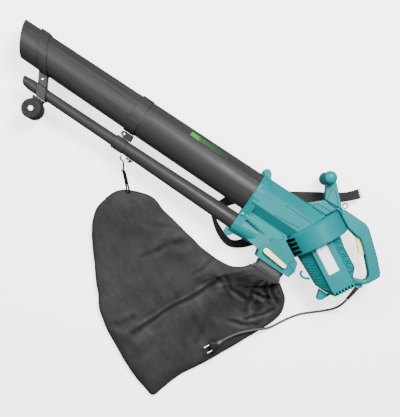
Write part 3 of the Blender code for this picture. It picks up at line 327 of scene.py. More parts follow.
def make_paints():
    """Every material by its short name."""
    return {
        "teal": moulded("teal_moulded", (0.0040, 0.150, 0.160), 0.38, coat=0.02),
        # lighter copy of the teal: painted highlight on the flange edge, the strips between the tubes and the
        # flange lugs
        "teal_highlight_paint": moulded("teal_painted_highlight", (0.006, 0.175, 0.186), 0.38, coat=0.03),
        # near-black teal on the groove lines: painted shade in the grooves
        "teal_groove_shade": moulded("teal_groove_shade", (0.002, 0.030, 0.033), 0.50),
        "grey": tube_plastic("grey_tube", (0.025, 0.025, 0.0254), 0.40),
        "adapter": tube_plastic("adapter_grey", (0.062, 0.062, 0.0625), 0.40),
        "black": moulded("black_moulded", (0.0090, 0.0090, 0.0093), 0.42),
        "cream": moulded("cream_moulded", (0.95, 0.87, 0.37), 0.42, spread=0.03),
        "steel": metal("bright_steel", (0.78, 0.78, 0.77), 0.28),
        "dark_steel": metal("dark_steel", (0.075, 0.075, 0.075), 0.34),
        "cap": moulded("cap_bright", (0.80, 0.80, 0.79), 0.3, spread=0.02),
        "brass": metal("brass_contact", (0.75, 0.52, 0.22), 0.30),
        "copper": metal("copper_winding", (0.62, 0.28, 0.13), 0.34),
        "fabric": bag_weave(),
        "hem": woven("bag_hem", (0.012, 0.012, 0.0122), 0.0011, 0.85, 0.00035),
        "webbing": woven(
            "strap_weave", (0.0052, 0.0043, 0.0046), 0.0022, 0.75, 0.0005, turn=38.0, sheen=0.05,
        ),
        "thread": moulded("stitch_thread", (0.022, 0.022, 0.023), 0.7),
        "rubber": moulded("cord_rubber", (0.010, 0.010, 0.0105), 0.42, grain=0.00003),
        "cord": moulded("cord_grey", (0.060, 0.060, 0.061), 0.36, grain=0.00003),
        "relief": moulded("relief_rubber", (0.022, 0.022, 0.0225), 0.45),
        "plug": moulded("plug_grey", (0.11, 0.11, 0.112), 0.45),
        "plug_dark": moulded("plug_dark", (0.010, 0.010, 0.0105), 0.42),
        "label": moulded("label_blank", (0.93, 0.93, 0.92), 0.35, spread=0.01),
        # lighter grey for the joint collar ribs: painted highlight
        "rib_highlight": moulded("joint_rib_highlight", (0.055, 0.055, 0.055), 0.4),
        "badge": faded_badge(),
        # near-black paint behind the fan slots: painted shade
        "slot_shade": moulded("slot_shade_sheet", (0.004, 0.010, 0.010), 0.8),
    }


# ---------------------------------------------------------------- shapes


def motor_point(a, b, z=0.0):
    """Machine point `a` along the motor axis and `b` across it."""
    return (a * TILT_COS + b * TILT_SIN, -a * TILT_SIN + b * TILT_COS, z)


def skin(rings, cyclic=False):
    """Surface through rings of points, closed at both ends or joined into a loop."""
    made = bmesh.new()
    verts = [[made.verts.new(point) for point in ring] for ring in rings]
    count = len(rings[0])
    pairs = list(zip(verts, verts[1:]))
    if cyclic:
        pairs.append((verts[-1], verts[0]))
    for first, second in pairs:
        for k in range(count):
            n = (k + 1) % count
            made.faces.new((first[k], first[n], second[n], second[k]))
    if not cyclic:
        made.faces.new(list(reversed(verts[0])))
        made.faces.new(verts[-1])
    return made


def circle(radius, count, centre=(0.0, 0.0)):
    turns = [2.0 * math.pi * k / count for k in range(count)]
    return [(centre[0] + radius * math.cos(t), centre[1] + radius * math.sin(t)) for t in turns]


def prism(outline, low, high):
    """Plate with the given outline between two heights over the mid-plane."""
    return skin([[(x, y, low) for x, y in outline], [(x, y, high) for x, y in outline]])


def smooth_path(points, steps):
    """Catmull-Rom curve through the points."""
    route = []
    last = len(points) - 1
    for k in range(last):
        p0, p1, p2, p3 = (Vector(points[min(max(k + j, 0), last)]) for j in (-1, 0, 1, 2))
        for step in range(steps):
            t = step / steps
            flat = 2.0 * p1 + (p2 - p0) * t
            bend = (2.0 * p0 - 5.0 * p1 + 4.0 * p2 - p3) * t * t
            twist = (3.0 * p1 - p0 - 3.0 * p2 + p3) * t * t * t
            route.append((flat + bend + twist) * 0.5)
    route.append(Vector(points[last]))
    return route


def smooth_loop(points, steps):
    """Closed curve through the points."""
    return smooth_path(points + points[:3], steps)[steps:steps * (len(points) + 1)]


def to_world(point):
    """Place in metres of a point in machine millimetres."""
    x, y, z = point
    return Vector((x, y, z + MID_HEIGHT)) * MM


def add_piece(name, made, paint, body="machine", angle=32.0):
    """Turn a bmesh in machine millimetres into a piece that rides on a body."""
    for vert in made.verts:
        vert.co = to_world(vert.co)
    bmesh.ops.recalc_face_normals(made, faces=made.faces)
    mesh = bpy.data.meshes.new(name)
    made.to_mesh(mesh)
    made.free()
    mesh.materials.append(paint)
    mesh.shade_smooth()
    mesh.set_sharp_from_angle(angle=math.radians(angle))
    piece = show(name, mesh)
    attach(piece, body)
    return piece


def add_lines(name, routes, radius, paint, body="machine", closed=False, resolution=2):
    """Round bars along several routes, as one bevelled curve."""
    curve = bpy.data.curves.new(name, "CURVE")
    curve.dimensions = "3D"
    curve.bevel_depth = radius * MM
    curve.bevel_resolution = resolution
    curve.use_fill_caps = not closed
    for route in routes:
        line = curve.splines.new("POLY")
        line.points.add(len(route) - 1)
        line.use_cyclic_u = closed
        line.use_smooth = True
        for place, point in zip(line.points, route):
            place.co = (*to_world(point), 1.0)
    curve.materials.append(paint)
    piece = show(name, curve)
    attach(piece, body)
    return piece


def round_edges(piece, width, segments=2, angle=SHARP):
    """Rounded edges, in millimetres, and shading that keeps the faces flat."""
    step = piece.modifiers.new("edges", "BEVEL")
    step.width = width * MM
    step.segments = segments
    step.limit_method = "ANGLE"
    step.angle_limit = math.radians(angle)
    shade = piece.modifiers.new("normals", "WEIGHTED_NORMAL")
    shade.keep_sharp = False


# ---------------------------------------------------------------- CAD nodes that stay


def dress(name, paint, edge):
    """Paint a CAD node and soften its edges without touching its shape."""
    item = NODES[name]
    mesh = item.data
    if "custom_normal" in mesh.attributes:
        mesh.attributes.remove(mesh.attributes["custom_normal"])
    mesh.materials.clear()
    mesh.materials.append(paint)
    for polygon in mesh.polygons:
        polygon.use_smooth = True
        polygon.material_index = 0
    weld = item.modifiers.new("weld", "WELD")
    weld.merge_threshold = 0.00001
    if edge > 0.0:
        round_edges(item, edge)
    else:
        split = item.modifiers.new("edges", "EDGE_SPLIT")
        split.split_angle = math.radians(SHARP)


def dress_nodes(paints):
    """Paint of each CAD node that stays, and how far its edges are rounded, in millimetres."""
    finishes = {
        "teal": {
            "duct_shell_left": 1.6, "duct_shell_right": 1.6, "fan_casing": 1.0, "fan_back_plate": 0.8,
            "body_shell_left": 1.3, "body_shell_right": 1.3, "front_handle_post": 0.8,
            "front_handle_grip": 0.0, "cable_hook": 0.0, "rear_foot": 1.6, "cable_gland": 1.0,
        },
        "grey": {
            "suction_tube_front": 0.8, "suction_tube_rear": 0.8, "blower_tube_front": 0.6,
            "blower_tube_rear": 0.6, "blower_nozzle": 0.5, "front_clamp": 1.0, "diverter_flap": 0.4,
        },
        "adapter": {"bag_adapter": 0.8},
        "black": {
            "wheel_fork": 1.0, "wheel_left": 0.4, "wheel_right": 0.4, "tube_bracket": 0.8,
            "bag_hook_lug": 0.8, "impeller": 0.0, "motor_front_frame": 0.0, "carbon_brush_left": 0.0,
            "strap_ring": 0.0, "carbon_brush_right": 0.0, "switch_body": 0.5,
        },
        "cream": {"selector_lever": 0.0, "trigger": 1.0},
        "steel": {
            "clamp_screw": 0.0, "flange_screw": 0.0, "wheel_axle": 0.4, "impeller_nut": 0.3,
            "motor_shaft": 0.0, "motor_stator": 0.0, "front_bearing": 0.0, "rear_bearing": 0.0,
            "trigger_pin": 0.0, "plug_pin_left": 0.0, "plug_pin_right": 0.0,
        },
        "brass": {"commutator": 0.0, "brush_holder_left": 0.0, "brush_holder_right": 0.0},
        "copper": {"armature": 0.0},
        "label": {"rating_label": 0.0},
        "badge": {"badge": 0.3},
        "cap": {"wheel_cap_left": 0.3, "wheel_cap_right": 0.3},
    }
    for paint, nodes in finishes.items():
        for name, edge in nodes.items():
            dress(name, paints[paint], edge)


# ---------------------------------------------------------------- bag

BAG_CENTRE = (-245.0, -372.0)
BAG_TOP = 52.0            # height of the slack cloth in the middle
BAG_LIMIT = 168.0         # no fold stands higher than this
BAG_FLOOR = 0.5
CLOTH = 0.9               # thickness
SEAM_STEPS = 13
MOUTH_STEPS = 56
MOUTH_MIDDLE = (-58.5, -170.0)
MOUTH_HALF_X = 47.5
MOUTH_HALF_Z = 43.0

# Seam of the bag, from the right of the mouth clockwise to its left: X, Y, height over the floor
BAG_SEAM = [
    (-11.0, -170.0, 85.0), (14.0, -186.0, 66.0), (36.0, -206.0, 44.0), (48.0, -240.0, 26.0),
    (42.0, -278.0, 20.0), (10.0, -350.0, 18.0), (-54.0, -482.0, 16.0), (-94.0, -553.0, 14.0),
    (-113.0, -612.0, 12.0), (-124.0, -645.0, 11.0), (-150.0, -645.0, 11.0), (-247.0, -611.0, 13.0),
    (-368.0, -545.0, 15.0), (-430.0, -482.0, 16.0), (-504.0, -393.0, 18.0), (-546.0, -335.0, 18.0),
    (-562.0, -285.0, 18.0), (-552.0, -232.0, 20.0), (-524.0, -197.0, 24.0), (-454.0, -171.0, 26.0),
    (-400.0, -183.0, 26.0), (-350.0, -193.0, 28.0), (-235.0, -213.0, 36.0), (-160.0, -212.0, 50.0),
    (-122.0, -192.0, 68.0), (-106.0, -170.0, 85.0),
]

# Creases on the bag's upper side: route, half width, height of the ridges beside it and depth of the
# valley, which is negative where the crease is a ridge
CREASES = [
    ([(-300.0, -578.0), (-277.0, -530.0), (-250.0, -465.0), (-222.0, -402.0)], 9.0, 1.5, -2.6),
    ([(-280.0, -540.0), (-215.0, -388.0), (-180.0, -304.0), (-146.0, -228.0)], 48.0, 3.0, 7.0),
    ([(-378.0, -330.0), (-345.0, -275.0), (-318.0, -238.0), (-286.0, -206.0)], 20.0, 1.6, 2.8),
    ([(-230.0, -296.0), (-212.0, -255.0), (-206.0, -218.0)], 14.0, 1.2, 2.6),
    ([(-190.0, -266.0), (-140.0, -258.0), (-96.0, -286.0)], 14.0, 1.5, 4.0),
    ([(-150.0, -236.0), (-112.0, -258.0), (-60.0, -262.0), (-8.0, -256.0)], 15.0, 2.0, 5.5),
    ([(-30.0, -310.0), (2.0, -276.0), (26.0, -236.0)], 12.0, 2.5, 6.5),
    ([(-70.0, -344.0), (-22.0, -322.0), (18.0, -306.0)], 11.0, 2.0, 4.5),
    ([(-58.0, -236.0), (-18.0, -226.0), (22.0, -214.0)], 11.0, 2.5, 7.0),
    ([(-500.0, -250.0), (-440.0, -245.0), (-385.0, -225.0), (-340.0, -205.0)], 24.0, 1.4, 2.4),
    ([(-360.0, -545.0), (-322.0, -528.0), (-296.0, -480.0)], 13.0, 1.2, 3.0),
    ([(-118.0, -520.0), (-110.0, -430.0), (-124.0, -340.0)], 24.0, 1.0, 2.0),
]

# Ends of the long fold that crosses the bag
MAIN_FOLD = ((-288.0, -563.0), (-140.0, -216.0))


def fade(share, start):
    """Smooth rise from 0 at start to 1 at the seam."""
    t = min(1.0, max(0.0, (share - start) / (1.0 - start)))
    return t * t * (3.0 - 2.0 * t)


def bulge(value):
    """Square-shouldered version of a sine or cosine."""
    return math.copysign(abs(value) ** 0.45, value)


def bag_columns():
    """Columns round the bag: X, Y, and the heights of the upper and lower edge there."""
    columns = []
    for point in smooth_path(BAG_SEAM, SEAM_STEPS):
        x, y, z = point
        wander = noise.noise(Vector((x, y, 3.0)) / 34.0)
        columns.append((x + 1.6 * wander, y + 1.2 * wander, z, z))
    for k in range(1, MOUTH_STEPS):
        turn = math.pi * k / MOUTH_STEPS
        x = MOUTH_MIDDLE[0] - MOUTH_HALF_X * bulge(math.cos(turn))
        rise = MOUTH_HALF_Z * abs(bulge(math.sin(turn)))
        columns.append((x, MOUTH_MIDDLE[1], MID_HEIGHT + rise, MID_HEIGHT - rise))
    return columns


def main_fold(x, y):
    """Height of the long fold across the bag, whose left side laps over its right side."""
    (x0, y0), (x1, y1) = MAIN_FOLD
    length = math.hypot(x1 - x0, y1 - y0)
    dx, dy = (x1 - x0) / length, (y1 - y0) / length
    along = ((x - x0) * dx + (y - y0) * dy) / length
    if not 0.0 < along < 1.0:
        return 0.0
    across = (x - x0) * dy - (y - y0) * dx + 5.0 * math.sin(5.5 * along) + 1.5 * math.sin(17.0 * along)
    depth = min(1.0, along * 5.0, (1.0 - along) * 6.0) * (0.75 + 0.25 * math.sin(9.0 * along + 1.0))
    valley = math.exp(-((across / (4.0 + 4.0 * along)) ** 2))
    lip = math.exp(-(((across + 9.0) / 5.0) ** 2))
    slope = math.exp(-(((across - 26.0) / 18.0) ** 2))
    return depth * (3.0 * lip + 2.5 * slope - 7.0 * valley)


def nearest(route, x, y):
    """Distance from a point to a route, and the share of the route where it is nearest."""
    best, along = 1e9, 0.0
    count = len(route) - 1
    for k in range(count):
        (x0, y0), (x1, y1) = route[k], route[k + 1]
        dx, dy = x1 - x0, y1 - y0
        t = min(1.0, max(0.0, ((x - x0) * dx + (y - y0) * dy) / (dx * dx + dy * dy)))
        gap = math.hypot(x - x0 - dx * t, y - y0 - dy * t)
        if gap < best:
            best, along = gap, (k + t) / count
    return best, along


def crease_relief(x, y):
    """Height that the creases add at a point, on routes that wander a few millimetres."""
    total = main_fold(x, y)
    here = Vector((x, y, 50.0))
    slow, fast = here / 48.0, here / 17.0
    x += 4.5 * noise.noise(slow) + 2.0 * noise.noise(fast)
    y += 4.5 * noise.noise(slow + Vector((9.0, 4.0, 0.0))) + 2.0 * noise.noise(fast + Vector((2.0, 8.0, 0.0)))
    uneven = 0.8 + 0.8 * noise.noise(here / 38.0 + Vector((0.0, 5.0, 6.0)))
    for route, width, ridge, valley in CREASES:
        gap, along = nearest(route, x, y)
        if gap > width * 3.2:
            continue
        reach = gap / width
        ends = math.sin(math.pi * min(1.0, 0.03 + 0.94 * along)) ** 0.5
        profile = ridge * math.exp(-((reach - 1.1) ** 2) / 0.6) - valley * math.exp(-(reach * reach) / 0.22)
        total += uneven * ends * profile
    return total


def ridged(place):
    """Noise with sharp crests."""
    return 0.5 - abs(noise.noise(place)) * 2.0


def cloth_relief(x, y):
    """Slack, wrinkles and creases of the upper side."""
    place = Vector((x, y, 0.0))
    slack = 4.2 * noise.noise(place / 130.0 + Vector((3.1, 0.0, 0.0)))
    slack += 2.0 * ridged(place / 95.0 + Vector((0.0, 7.7, 0.0)))
    drag = Vector((x * 0.42 + y * 0.9, (x * 0.9 - y * 0.42) * 0.35, 4.0))
    slack += 1.3 * ridged(drag / 42.0) + 0.7 * noise.noise(drag / 13.0)
    slack += 0.35 * noise.noise(place / 5.0)
    return slack + crease_relief(x, y)


def neck_folds(x, y):
    """Gathers that run from the drawn-in mouth into the bag."""
    dx, dy = x - MOUTH_MIDDLE[0], y - MOUTH_MIDDLE[1]
    reach = math.hypot(dx, dy)
    near = math.exp(-((reach / 105.0) ** 2))
    turn = math.atan2(dy, dx) + 0.55 * noise.noise(Vector((x, y, 9.0)) / 45.0)
    wave = 0.45 - abs(math.sin(turn * 5.5 + 0.6)) ** 0.7
    right = 0.5 + 0.5 * math.tanh(dx / 30.0)
    knots = ridged(Vector((x, y, 31.0)) / 26.0) * (1.0 + 4.5 * right)
    return near * ((3.0 + 10.0 * right) * wave + 1.6 * knots)


def bag_height(column, share, upper):
    """Point of the upper or lower cloth, from the bag's middle, share 0, to its seam, share 1."""
    x0, y0 = BAG_CENTRE
    x1, y1, high, low = column
    x, y = x0 + (x1 - x0) * share, y0 + (y1 - y0) * share
    seam = (high + low) / 2.0
    if upper:
        dome = max(0.0, 1.0 - share ** 4.0) ** 0.6 * (1.0 - 0.2 * share)
        z = BAG_TOP * dome + seam * fade(share, 0.35) + (high - seam) * fade(share, 0.62)
        dx, dy = x + 58.0, y + 150.0
        shoulder = 14.0 * math.exp(-(dx * dx + dy * dy) / 6400.0)
        z += shoulder * (1.0 - share ** 4.0)
        loose = min(1.0, (1.0 - share) * 12.0)
        z += (cloth_relief(x, y) + neck_folds(x, y)) * loose - 3.0 * loose
        pucker = math.exp(-(1.0 - share) * 26.0) * loose
        z += pucker * 2.2 * noise.noise(Vector((x, y, 21.0)) / 9.0)
        z = min(z, BAG_LIMIT)
    else:
        z = seam * fade(share, 0.8 - seam / 200.0) - (seam - low) * fade(share, 0.62)
        z += 0.8 + 0.6 * noise.noise(Vector((x, y, 40.0)) / 30.0)
        z = max(BAG_FLOOR, z)
    return (x, y, z - MID_HEIGHT)


def relaxed(values, near):
    """Each value averaged with its neighbours'."""
    return [(values[k] + sum(values[n] for n in near[k])) / (1 + len(near[k])) for k in range(len(near))]


def mark_creases(piece):
    """Store where the cloth is folded outwards, above 0.5, and inwards, below it, for the bag's painted
    highlight and painted shade; near the mouth the inward folds are deepened and the outward ones weakened.
    """
    mesh = piece.data
    near = [[] for vert in mesh.vertices]
    for edge in mesh.edges:
        first, last = edge.vertices
        near[first].append(last)
        near[last].append(first)
    heights = [vert.co.z / MM for vert in mesh.vertices]
    levels = heights
    for step in range(8):
        levels = relaxed(levels, near)
    folds = relaxed([(z - level) / 2.5 for z, level in zip(heights, levels)], near)
    values = []
    for fold, vert in zip(folds, mesh.vertices):
        x, y = vert.co.x / MM - MOUTH_MIDDLE[0], vert.co.y / MM - MOUTH_MIDDLE[1]
        # painted shade near the mouth: inward folds count up to 2.5 times, outward folds lighten less
        gathered = math.exp(-(x * x + y * y) / 9000.0)
        fold *= 1.0 - 0.9 * gathered if fold > 0.0 else 1.0 + 1.5 * gathered
        values.append(min(1.0, max(0.0, 0.5 + fold)))
    mesh.attributes.new("crease", "FLOAT", "POINT").data.foreach_set("value", values)


def bag(paints):
    """Slack bag: an upper and a lower cloth, each lofted from the middle to the seam."""
    columns = bag_columns()
    count = len(columns)
    made = bmesh.new()
    for upper, rings in ((True, 84), (False, 26)):
        shares = [1.0 - (1.0 - (k + 1) / rings) ** 1.2 for k in range(rings)]
        centre = made.verts.new(bag_height(columns[0], 0.0, upper))
        loops = []
        for share in shares:
            loops.append([made.verts.new(bag_height(column, share, upper)) for column in columns])
        for k in range(count):
            n = (k + 1) % count
            made.faces.new((centre, loops[0][k], loops[0][n]))
            for inner, outer in zip(loops, loops[1:]):
                made.faces.new((inner[k], inner[n], outer[n], outer[k]))
    bmesh.ops.remove_doubles(made, verts=made.verts, dist=0.02)
    piece = add_piece("bag_cloth", made, paints["fabric"], angle=80.0)
    mark_creases(piece)
    thick = piece.modifiers.new("cloth", "SOLIDIFY")
    thick.thickness = CLOTH * MM
    thick.offset = -1.0
    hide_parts("collection_bag")


def bag_trim(paints):
    """Piping along the seam, stitching inside it, and the gathered cuff round the mouth."""
    seam_count = (len(BAG_SEAM) - 1) * SEAM_STEPS + 1
    columns = bag_columns()[:seam_count]
    route = [(x, y, z - MID_HEIGHT) for x, y, z, low in columns]
    add_lines("bag_piping", [route], 1.9, paints["hem"])
    stitches = []
    for k in range(6, seam_count - 6):
        last = [a + (b - a) * 0.6 for a, b in zip(columns[k], columns[k + 1])]
        ends = [bag_height(tuple(point), 0.965, True) for point in (columns[k], last)]
        stitches.append([(x, y, z + 0.3) for x, y, z in ends])
    add_lines("bag_stitching", stitches, 0.45, paints["thread"], resolution=1)
    rings = []
    for y, grow, inner in (
        (-171.5, 1.5, False), (-168.0, 3.2, False), (-163.5, 2.6, False), (-160.5, 1.4, False),
        (-160.0, 0.8, True), (-171.0, 0.8, True),
    ):
        ring = []
        for k in range(96):
            turn = 2.0 * math.pi * k / 96
            ripple = 0.0 if inner else 1.3 * math.sin(turn * 22.0) + 0.7 * math.sin(turn * 9.0 + 1.0)
            reach_x, reach_z = 39.5 + grow + ripple, 38.0 + grow + ripple
            x = MOUTH_MIDDLE[0] + reach_x * bulge(math.cos(turn))
            ring.append((x, y, reach_z * bulge(math.sin(turn))))
        rings.append(ring)
    add_piece("bag_cuff", skin(rings, cyclic=True), paints["hem"], angle=60.0)


# ---------------------------------------------------------------- bag hook, strap and cord


def hook_and_elastic(paints):
    """Elastic loop on the bag's corner, and the wire hook that holds it."""
    loop = [
        (-552.5, -151.0, -7.0), (-543.0, -158.0, -14.0), (-526.0, -176.0, -30.0), (-509.0, -194.0, -46.0),
        (-514.0, -196.0, -47.0), (-520.0, -192.0, -45.0), (-537.0, -172.0, -28.0), (-551.0, -156.5, -12.0),
    ]
    around = smooth_loop(loop, 6)
    piece = add_lines("bag_elastic_loop", [around], 2.7, paints["rubber"], closed=True)
    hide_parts("bag_elastic")
    hook = [
        (-580.0, -119.0, 0.0), (-581.5, -124.0, 0.0), (-577.5, -129.0, 0.0), (-571.0, -129.5, 0.0),
        (-566.5, -132.0, 0.0), (-560.0, -141.0, -3.0), (-556.5, -146.0, -4.0), (-553.5, -151.0, -5.0),
        (-556.0, -154.5, -6.0), (-559.5, -151.0, -5.0),
    ]
    piece = add_lines("bag_hook_wire", [smooth_path(hook, 6)], 2.3, paints["dark_steel"])
    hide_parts("bag_hook")


# Middle of the strap: X, Y, height over the floor, lean of its width in degrees
STRAP_ROUTE = [
    (46.0, 172.0, 22.0, 35.0), (22.0, 146.0, 14.0, 40.0), (-8.0, 122.0, 9.0, 25.0), (-45.0, 98.0, 6.0, 12.0),
    (-95.0, 66.0, 5.0, 10.0), (-150.0, 30.0, 5.0, 8.0), (-205.0, -5.0, 5.0, 8.0), (-250.0, -45.0, 7.0, 25.0),
    (-274.0, -88.0, 12.0, 55.0), (-273.0, -111.0, 16.0, 70.0), (-256.0, -127.5, 17.0, 70.0),
    (-234.5, -141.0, 17.0, 60.0), (-210.5, -151.5, 16.0, 55.0), (-185.0, -154.5, 14.0, 50.0),
    (-161.0, -141.0, 11.0, 42.0), (-138.0, -114.0, 7.0, 20.0), (-116.0, -86.0, 5.0, 8.0),
    (-97.0, -59.0, 4.0, 5.0),
]
STRAP_WIDTH = 34.0
# Section of the webbing: share of its half width, height in millimetres
STRAP_PROFILE = [
    (1.0, 0.0), (0.985, 0.8), (0.93, 1.15), (0.86, 0.95), (0.5, 1.05), (0.17, 0.95), (-0.17, 1.05),
    (-0.5, 0.95), (-0.86, 0.95), (-0.93, 1.15), (-0.985, 0.8), (-1.0, 0.0), (-0.985, -0.8), (-0.93, -1.1),
    (-0.5, -0.95), (0.0, -1.0), (0.5, -0.95), (0.93, -1.1), (0.985, -0.8),
]


def strap_frame(route, leans, k):
    """Directions along the strap, across it and out of its face."""
    ahead, behind = route[min(k + 1, len(route) - 1)], route[max(k - 1, 0)]
    forward = (ahead - behind).normalized()
    level = Vector((-forward.y, forward.x, 0.0)).normalized()
    up = forward.cross(level).normalized()
    if up.z < 0.0:
        up = -up
    lean = math.radians(leans[k])
    wide = level * math.cos(lean) + up * math.sin(lean)
    thick = up * math.cos(lean) - level * math.sin(lean)
    return forward, wide, thick


def strap(paints):
    """Shoulder strap with its frayed end and the stitched lines along its sides."""
    half, steps = STRAP_WIDTH / 2.0, 8
    points = []
    for x, y, height, lean in STRAP_ROUTE:
        points.append((x, y, height - MID_HEIGHT + half * math.sin(math.radians(lean)) * 0.5))
    route = smooth_path(points, steps)
    leans = smooth_path([(lean, 0.0, 0.0) for x, y, height, lean in STRAP_ROUTE], steps)
    leans = [value.x for value in leans]
    rings, frames = [], []
    for k, place in enumerate(route):
        forward, wide, thick = strap_frame(route, leans, k)
        frames.append((place, forward, wide, thick))
        rings.append([place + wide * half * u + thick * v for u, v in STRAP_PROFILE])
    webbing = add_piece("strap_webbing", skin(rings), paints["webbing"], angle=50.0)
    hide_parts("shoulder_strap")
    place, forward, wide, thick = frames[0]
    threads = []
    for k in range(15):
        across = -0.95 + 1.9 * k / 14.0
        reach = 3.0 + 4.5 * (0.5 + 0.5 * noise.noise(Vector((k * 3.7, 1.0, 0.0))))
        sway = 1.6 * noise.noise(Vector((k * 5.1, 9.0, 0.0)))
        start = place + wide * half * across + forward * 2.0
        middle = start - forward * (reach * 0.5 + 2.0) + wide * sway * 0.4
        threads.append([start, middle, start - forward * (reach + 2.0) + wide * sway])
    fray = add_lines("strap_fray", threads, 0.5, paints["webbing"], resolution=1)
    hems = []
    for side in (0.8, -0.8):
        hems.append([p + wide * half * side + thick * 1.05 for p, forward, wide, thick in frames])
    seams = add_lines("strap_selvedge", hems, 0.35, paints["thread"], resolution=1)


# Middle of the cord, from the strain relief to the plug
CORD_ROUTE = [
    (174.3, -104.9, -6.6), (174.0, -112.0, -11.0), (173.8, -121.0, -21.0), (173.0, -132.0, -38.0),
    (169.0, -145.0, -57.0), (159.5, -159.0, -71.5), (144.0, -175.0, -79.5), (126.5, -191.0, -81.3),
    (101.5, -214.0, -81.3), (80.5, -242.0, -81.3), (65.5, -267.0, -80.5), (53.5, -287.0, -76.0),
    (42.0, -300.5, -65.5), (29.0, -310.5, -55.5), (15.0, -320.5, -49.5), (3.0, -331.0, -44.5),
    (-10.0, -343.0, -41.0), (-24.0, -358.5, -39.0), (-37.5, -378.0, -36.3), (-46.0, -392.0, -33.8),
    (-50.2, -400.6, -32.5),
]
CORD_DIAMETER = 7.0
CORD_EXIT = (174.5, -103.0, -6.0)
RELIEF_START = (178.5, -58.5, 0.0)
PLUG_AT = (-50.6, -401.4, -32.5)
PLUG_TURN = -115.5


def plug_place(u, v, w):
    """Point `u` along the plug from the cord, `v` across it and `w` above its middle."""
    turn = math.radians(PLUG_TURN)
    x = PLUG_AT[0] + u * math.cos(turn) - v * math.sin(turn)
    y = PLUG_AT[1] + u * math.sin(turn) + v * math.cos(turn)
    return (x, y, PLUG_AT[2] + w)


def rounded(half_v, half_w, power=0.6, count=32):
    """Outline between a rectangle and an ellipse."""
    outline = []
    for c, s in circle(1.0, count):
        v, w = abs(c) ** power, abs(s) ** power
        outline.append((half_v * math.copysign(v, c), half_w * math.copysign(w, s)))
    return outline


def plug(paints):
    """Moulded plug: its body, the ribbed sleeve on the cord and the grip ribs on its face."""
    body_rings = []
    for u, half_v, half_w in (
        (12.4, 5.6, 5.6), (14.5, 7.6, 6.4), (18.0, 11.5, 7.0), (21.5, 13.6, 7.2), (23.0, 12.9, 6.8),
        (24.6, 14.6, 7.3), (30.5, 15.4, 7.3), (34.8, 15.4, 7.2), (36.0, 14.6, 6.5),
    ):
        body_rings.append([plug_place(u, v, w) for v, w in rounded(half_v, half_w)])
    body = add_piece("plug_shell", skin(body_rings), paints["plug_dark"], angle=40.0)
    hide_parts("plug_body")
    sleeve_rings = []
    for k in range(31):
        u = 12.0 * k / 30.0
        grow = 4.7 + 1.6 * k / 30.0
        radius = grow - (0.7 if k % 5 in (1, 2) and k > 2 else 0.0)
        sleeve_rings.append([plug_place(u, v, w) for v, w in circle(radius, 24)])
    sleeve = add_piece("plug_relief", skin(sleeve_rings), paints["plug"], angle=60.0)
    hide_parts("plug_sleeve")
    ribs = [[plug_place(26.0 + 1.9 * k, -10.5 + 3.0 * n, 7.25) for n in range(8)] for k in range(5)]
    grip = add_lines("plug_grip_ribs", ribs, 0.5, paints["plug_dark"], resolution=1)
    return [body, sleeve, grip]


def cord(paints):
    """Mains lead with everything on it."""
    curve = bpy.data.curves.new("mains_lead", "CURVE")
    curve.dimensions = "3D"
    curve.bevel_depth = CORD_DIAMETER / 2.0 * MM
    curve.bevel_resolution = 5
    curve.resolution_u = 6
    curve.use_fill_caps = True
    line = curve.splines.new("BEZIER")
    line.bezier_points.add(len(CORD_ROUTE) - 1)
    for knot, point in zip(line.bezier_points, CORD_ROUTE):
        knot.co = to_world(point)
        knot.handle_left_type = knot.handle_right_type = "AUTO"
    curve.materials.append(paints["cord"])
    lead = show("mains_lead", curve)
    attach(lead, "machine")
    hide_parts("mains_cord")
    extras = plug(paints)
    relief = strain_relief(paints)


def strain_relief(paints):
    """Tapered, grooved sleeve where the lead leaves the housing."""
    start, end = Vector(RELIEF_START), Vector(CORD_EXIT)
    rings = []
    for k in range(61):
        share = k / 60.0
        place = start.lerp(end, share)
        place.z = start.z + (end.z - start.z) * share * share
        groove = 1.1 if k % 6 in (2, 3) and 6 < k < 56 else 0.0
        radius = 7.2 - 2.5 * share - groove
        rings.append([(place.x + u, place.y, place.z + v) for u, v in circle(radius, 24)])
    sleeve = add_piece("cord_relief", skin(rings), paints["relief"], angle=60.0)
    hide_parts("strain_relief")
    return sleeve


# ---------------------------------------------------------------- moulded detail on the housing


def surface_tree(names):
    """Search tree over the surface of some CAD nodes."""
    verts, faces = [], []
    for name in names:
        mesh = NODES[name].data
        offset = len(verts)
        verts += [vert.co.copy() for vert in mesh.vertices]
        faces += [[offset + k for k in polygon.vertices] for polygon in mesh.polygons]
    return BVHTree.FromPolygons(verts, faces)


def laid_on(tree, route, side, lift=0.0, step=3.0):
    """Plan route laid on the upper (side 1) or lower (side -1) face of what the tree holds."""
    points = []
    for (x0, y0), (x1, y1) in zip(route, route[1:]):
        count = max(1, int(math.hypot(x1 - x0, y1 - y0) / step))
        points += [(x0 + (x1 - x0) * k / count, y0 + (y1 - y0) * k / count) for k in range(count)]
    points.append(route[-1])
    laid = []
    for x, y in points:
        start = Vector((x, y, MID_HEIGHT + 120.0 * side)) * MM
        hit = tree.ray_cast(start, Vector((0.0, 0.0, -side)))[0]
        if hit is not None:
            laid.append((x, y, hit.z / MM - MID_HEIGHT + lift * side))
    return laid


def etched(name, tree, routes, paint, radius=0.8, lift=-0.2):
    """Narrow grooves or raised lines, the same on both faces."""
    laid = []
    for side in (1.0, -1.0):
        laid += [laid_on(tree, route, side, lift) for route in routes]
    return add_lines(name, [line for line in laid if len(line) > 1], radius, paint)


# Motor block: place along its axis, left edge, left and right edges of its raised middle, right edge
STRIP_STATIONS = [
    (27.3, -74.0, -43.0, 29.0, 57.0), (62.0, -71.0, -43.0, 29.0, 52.0), (128.0, -66.0, -43.0, 29.0, 52.0),
    (150.0, -54.0, -43.0, 29.0, 35.0), (172.0, -38.0, -36.0, 28.0, 30.0),
]


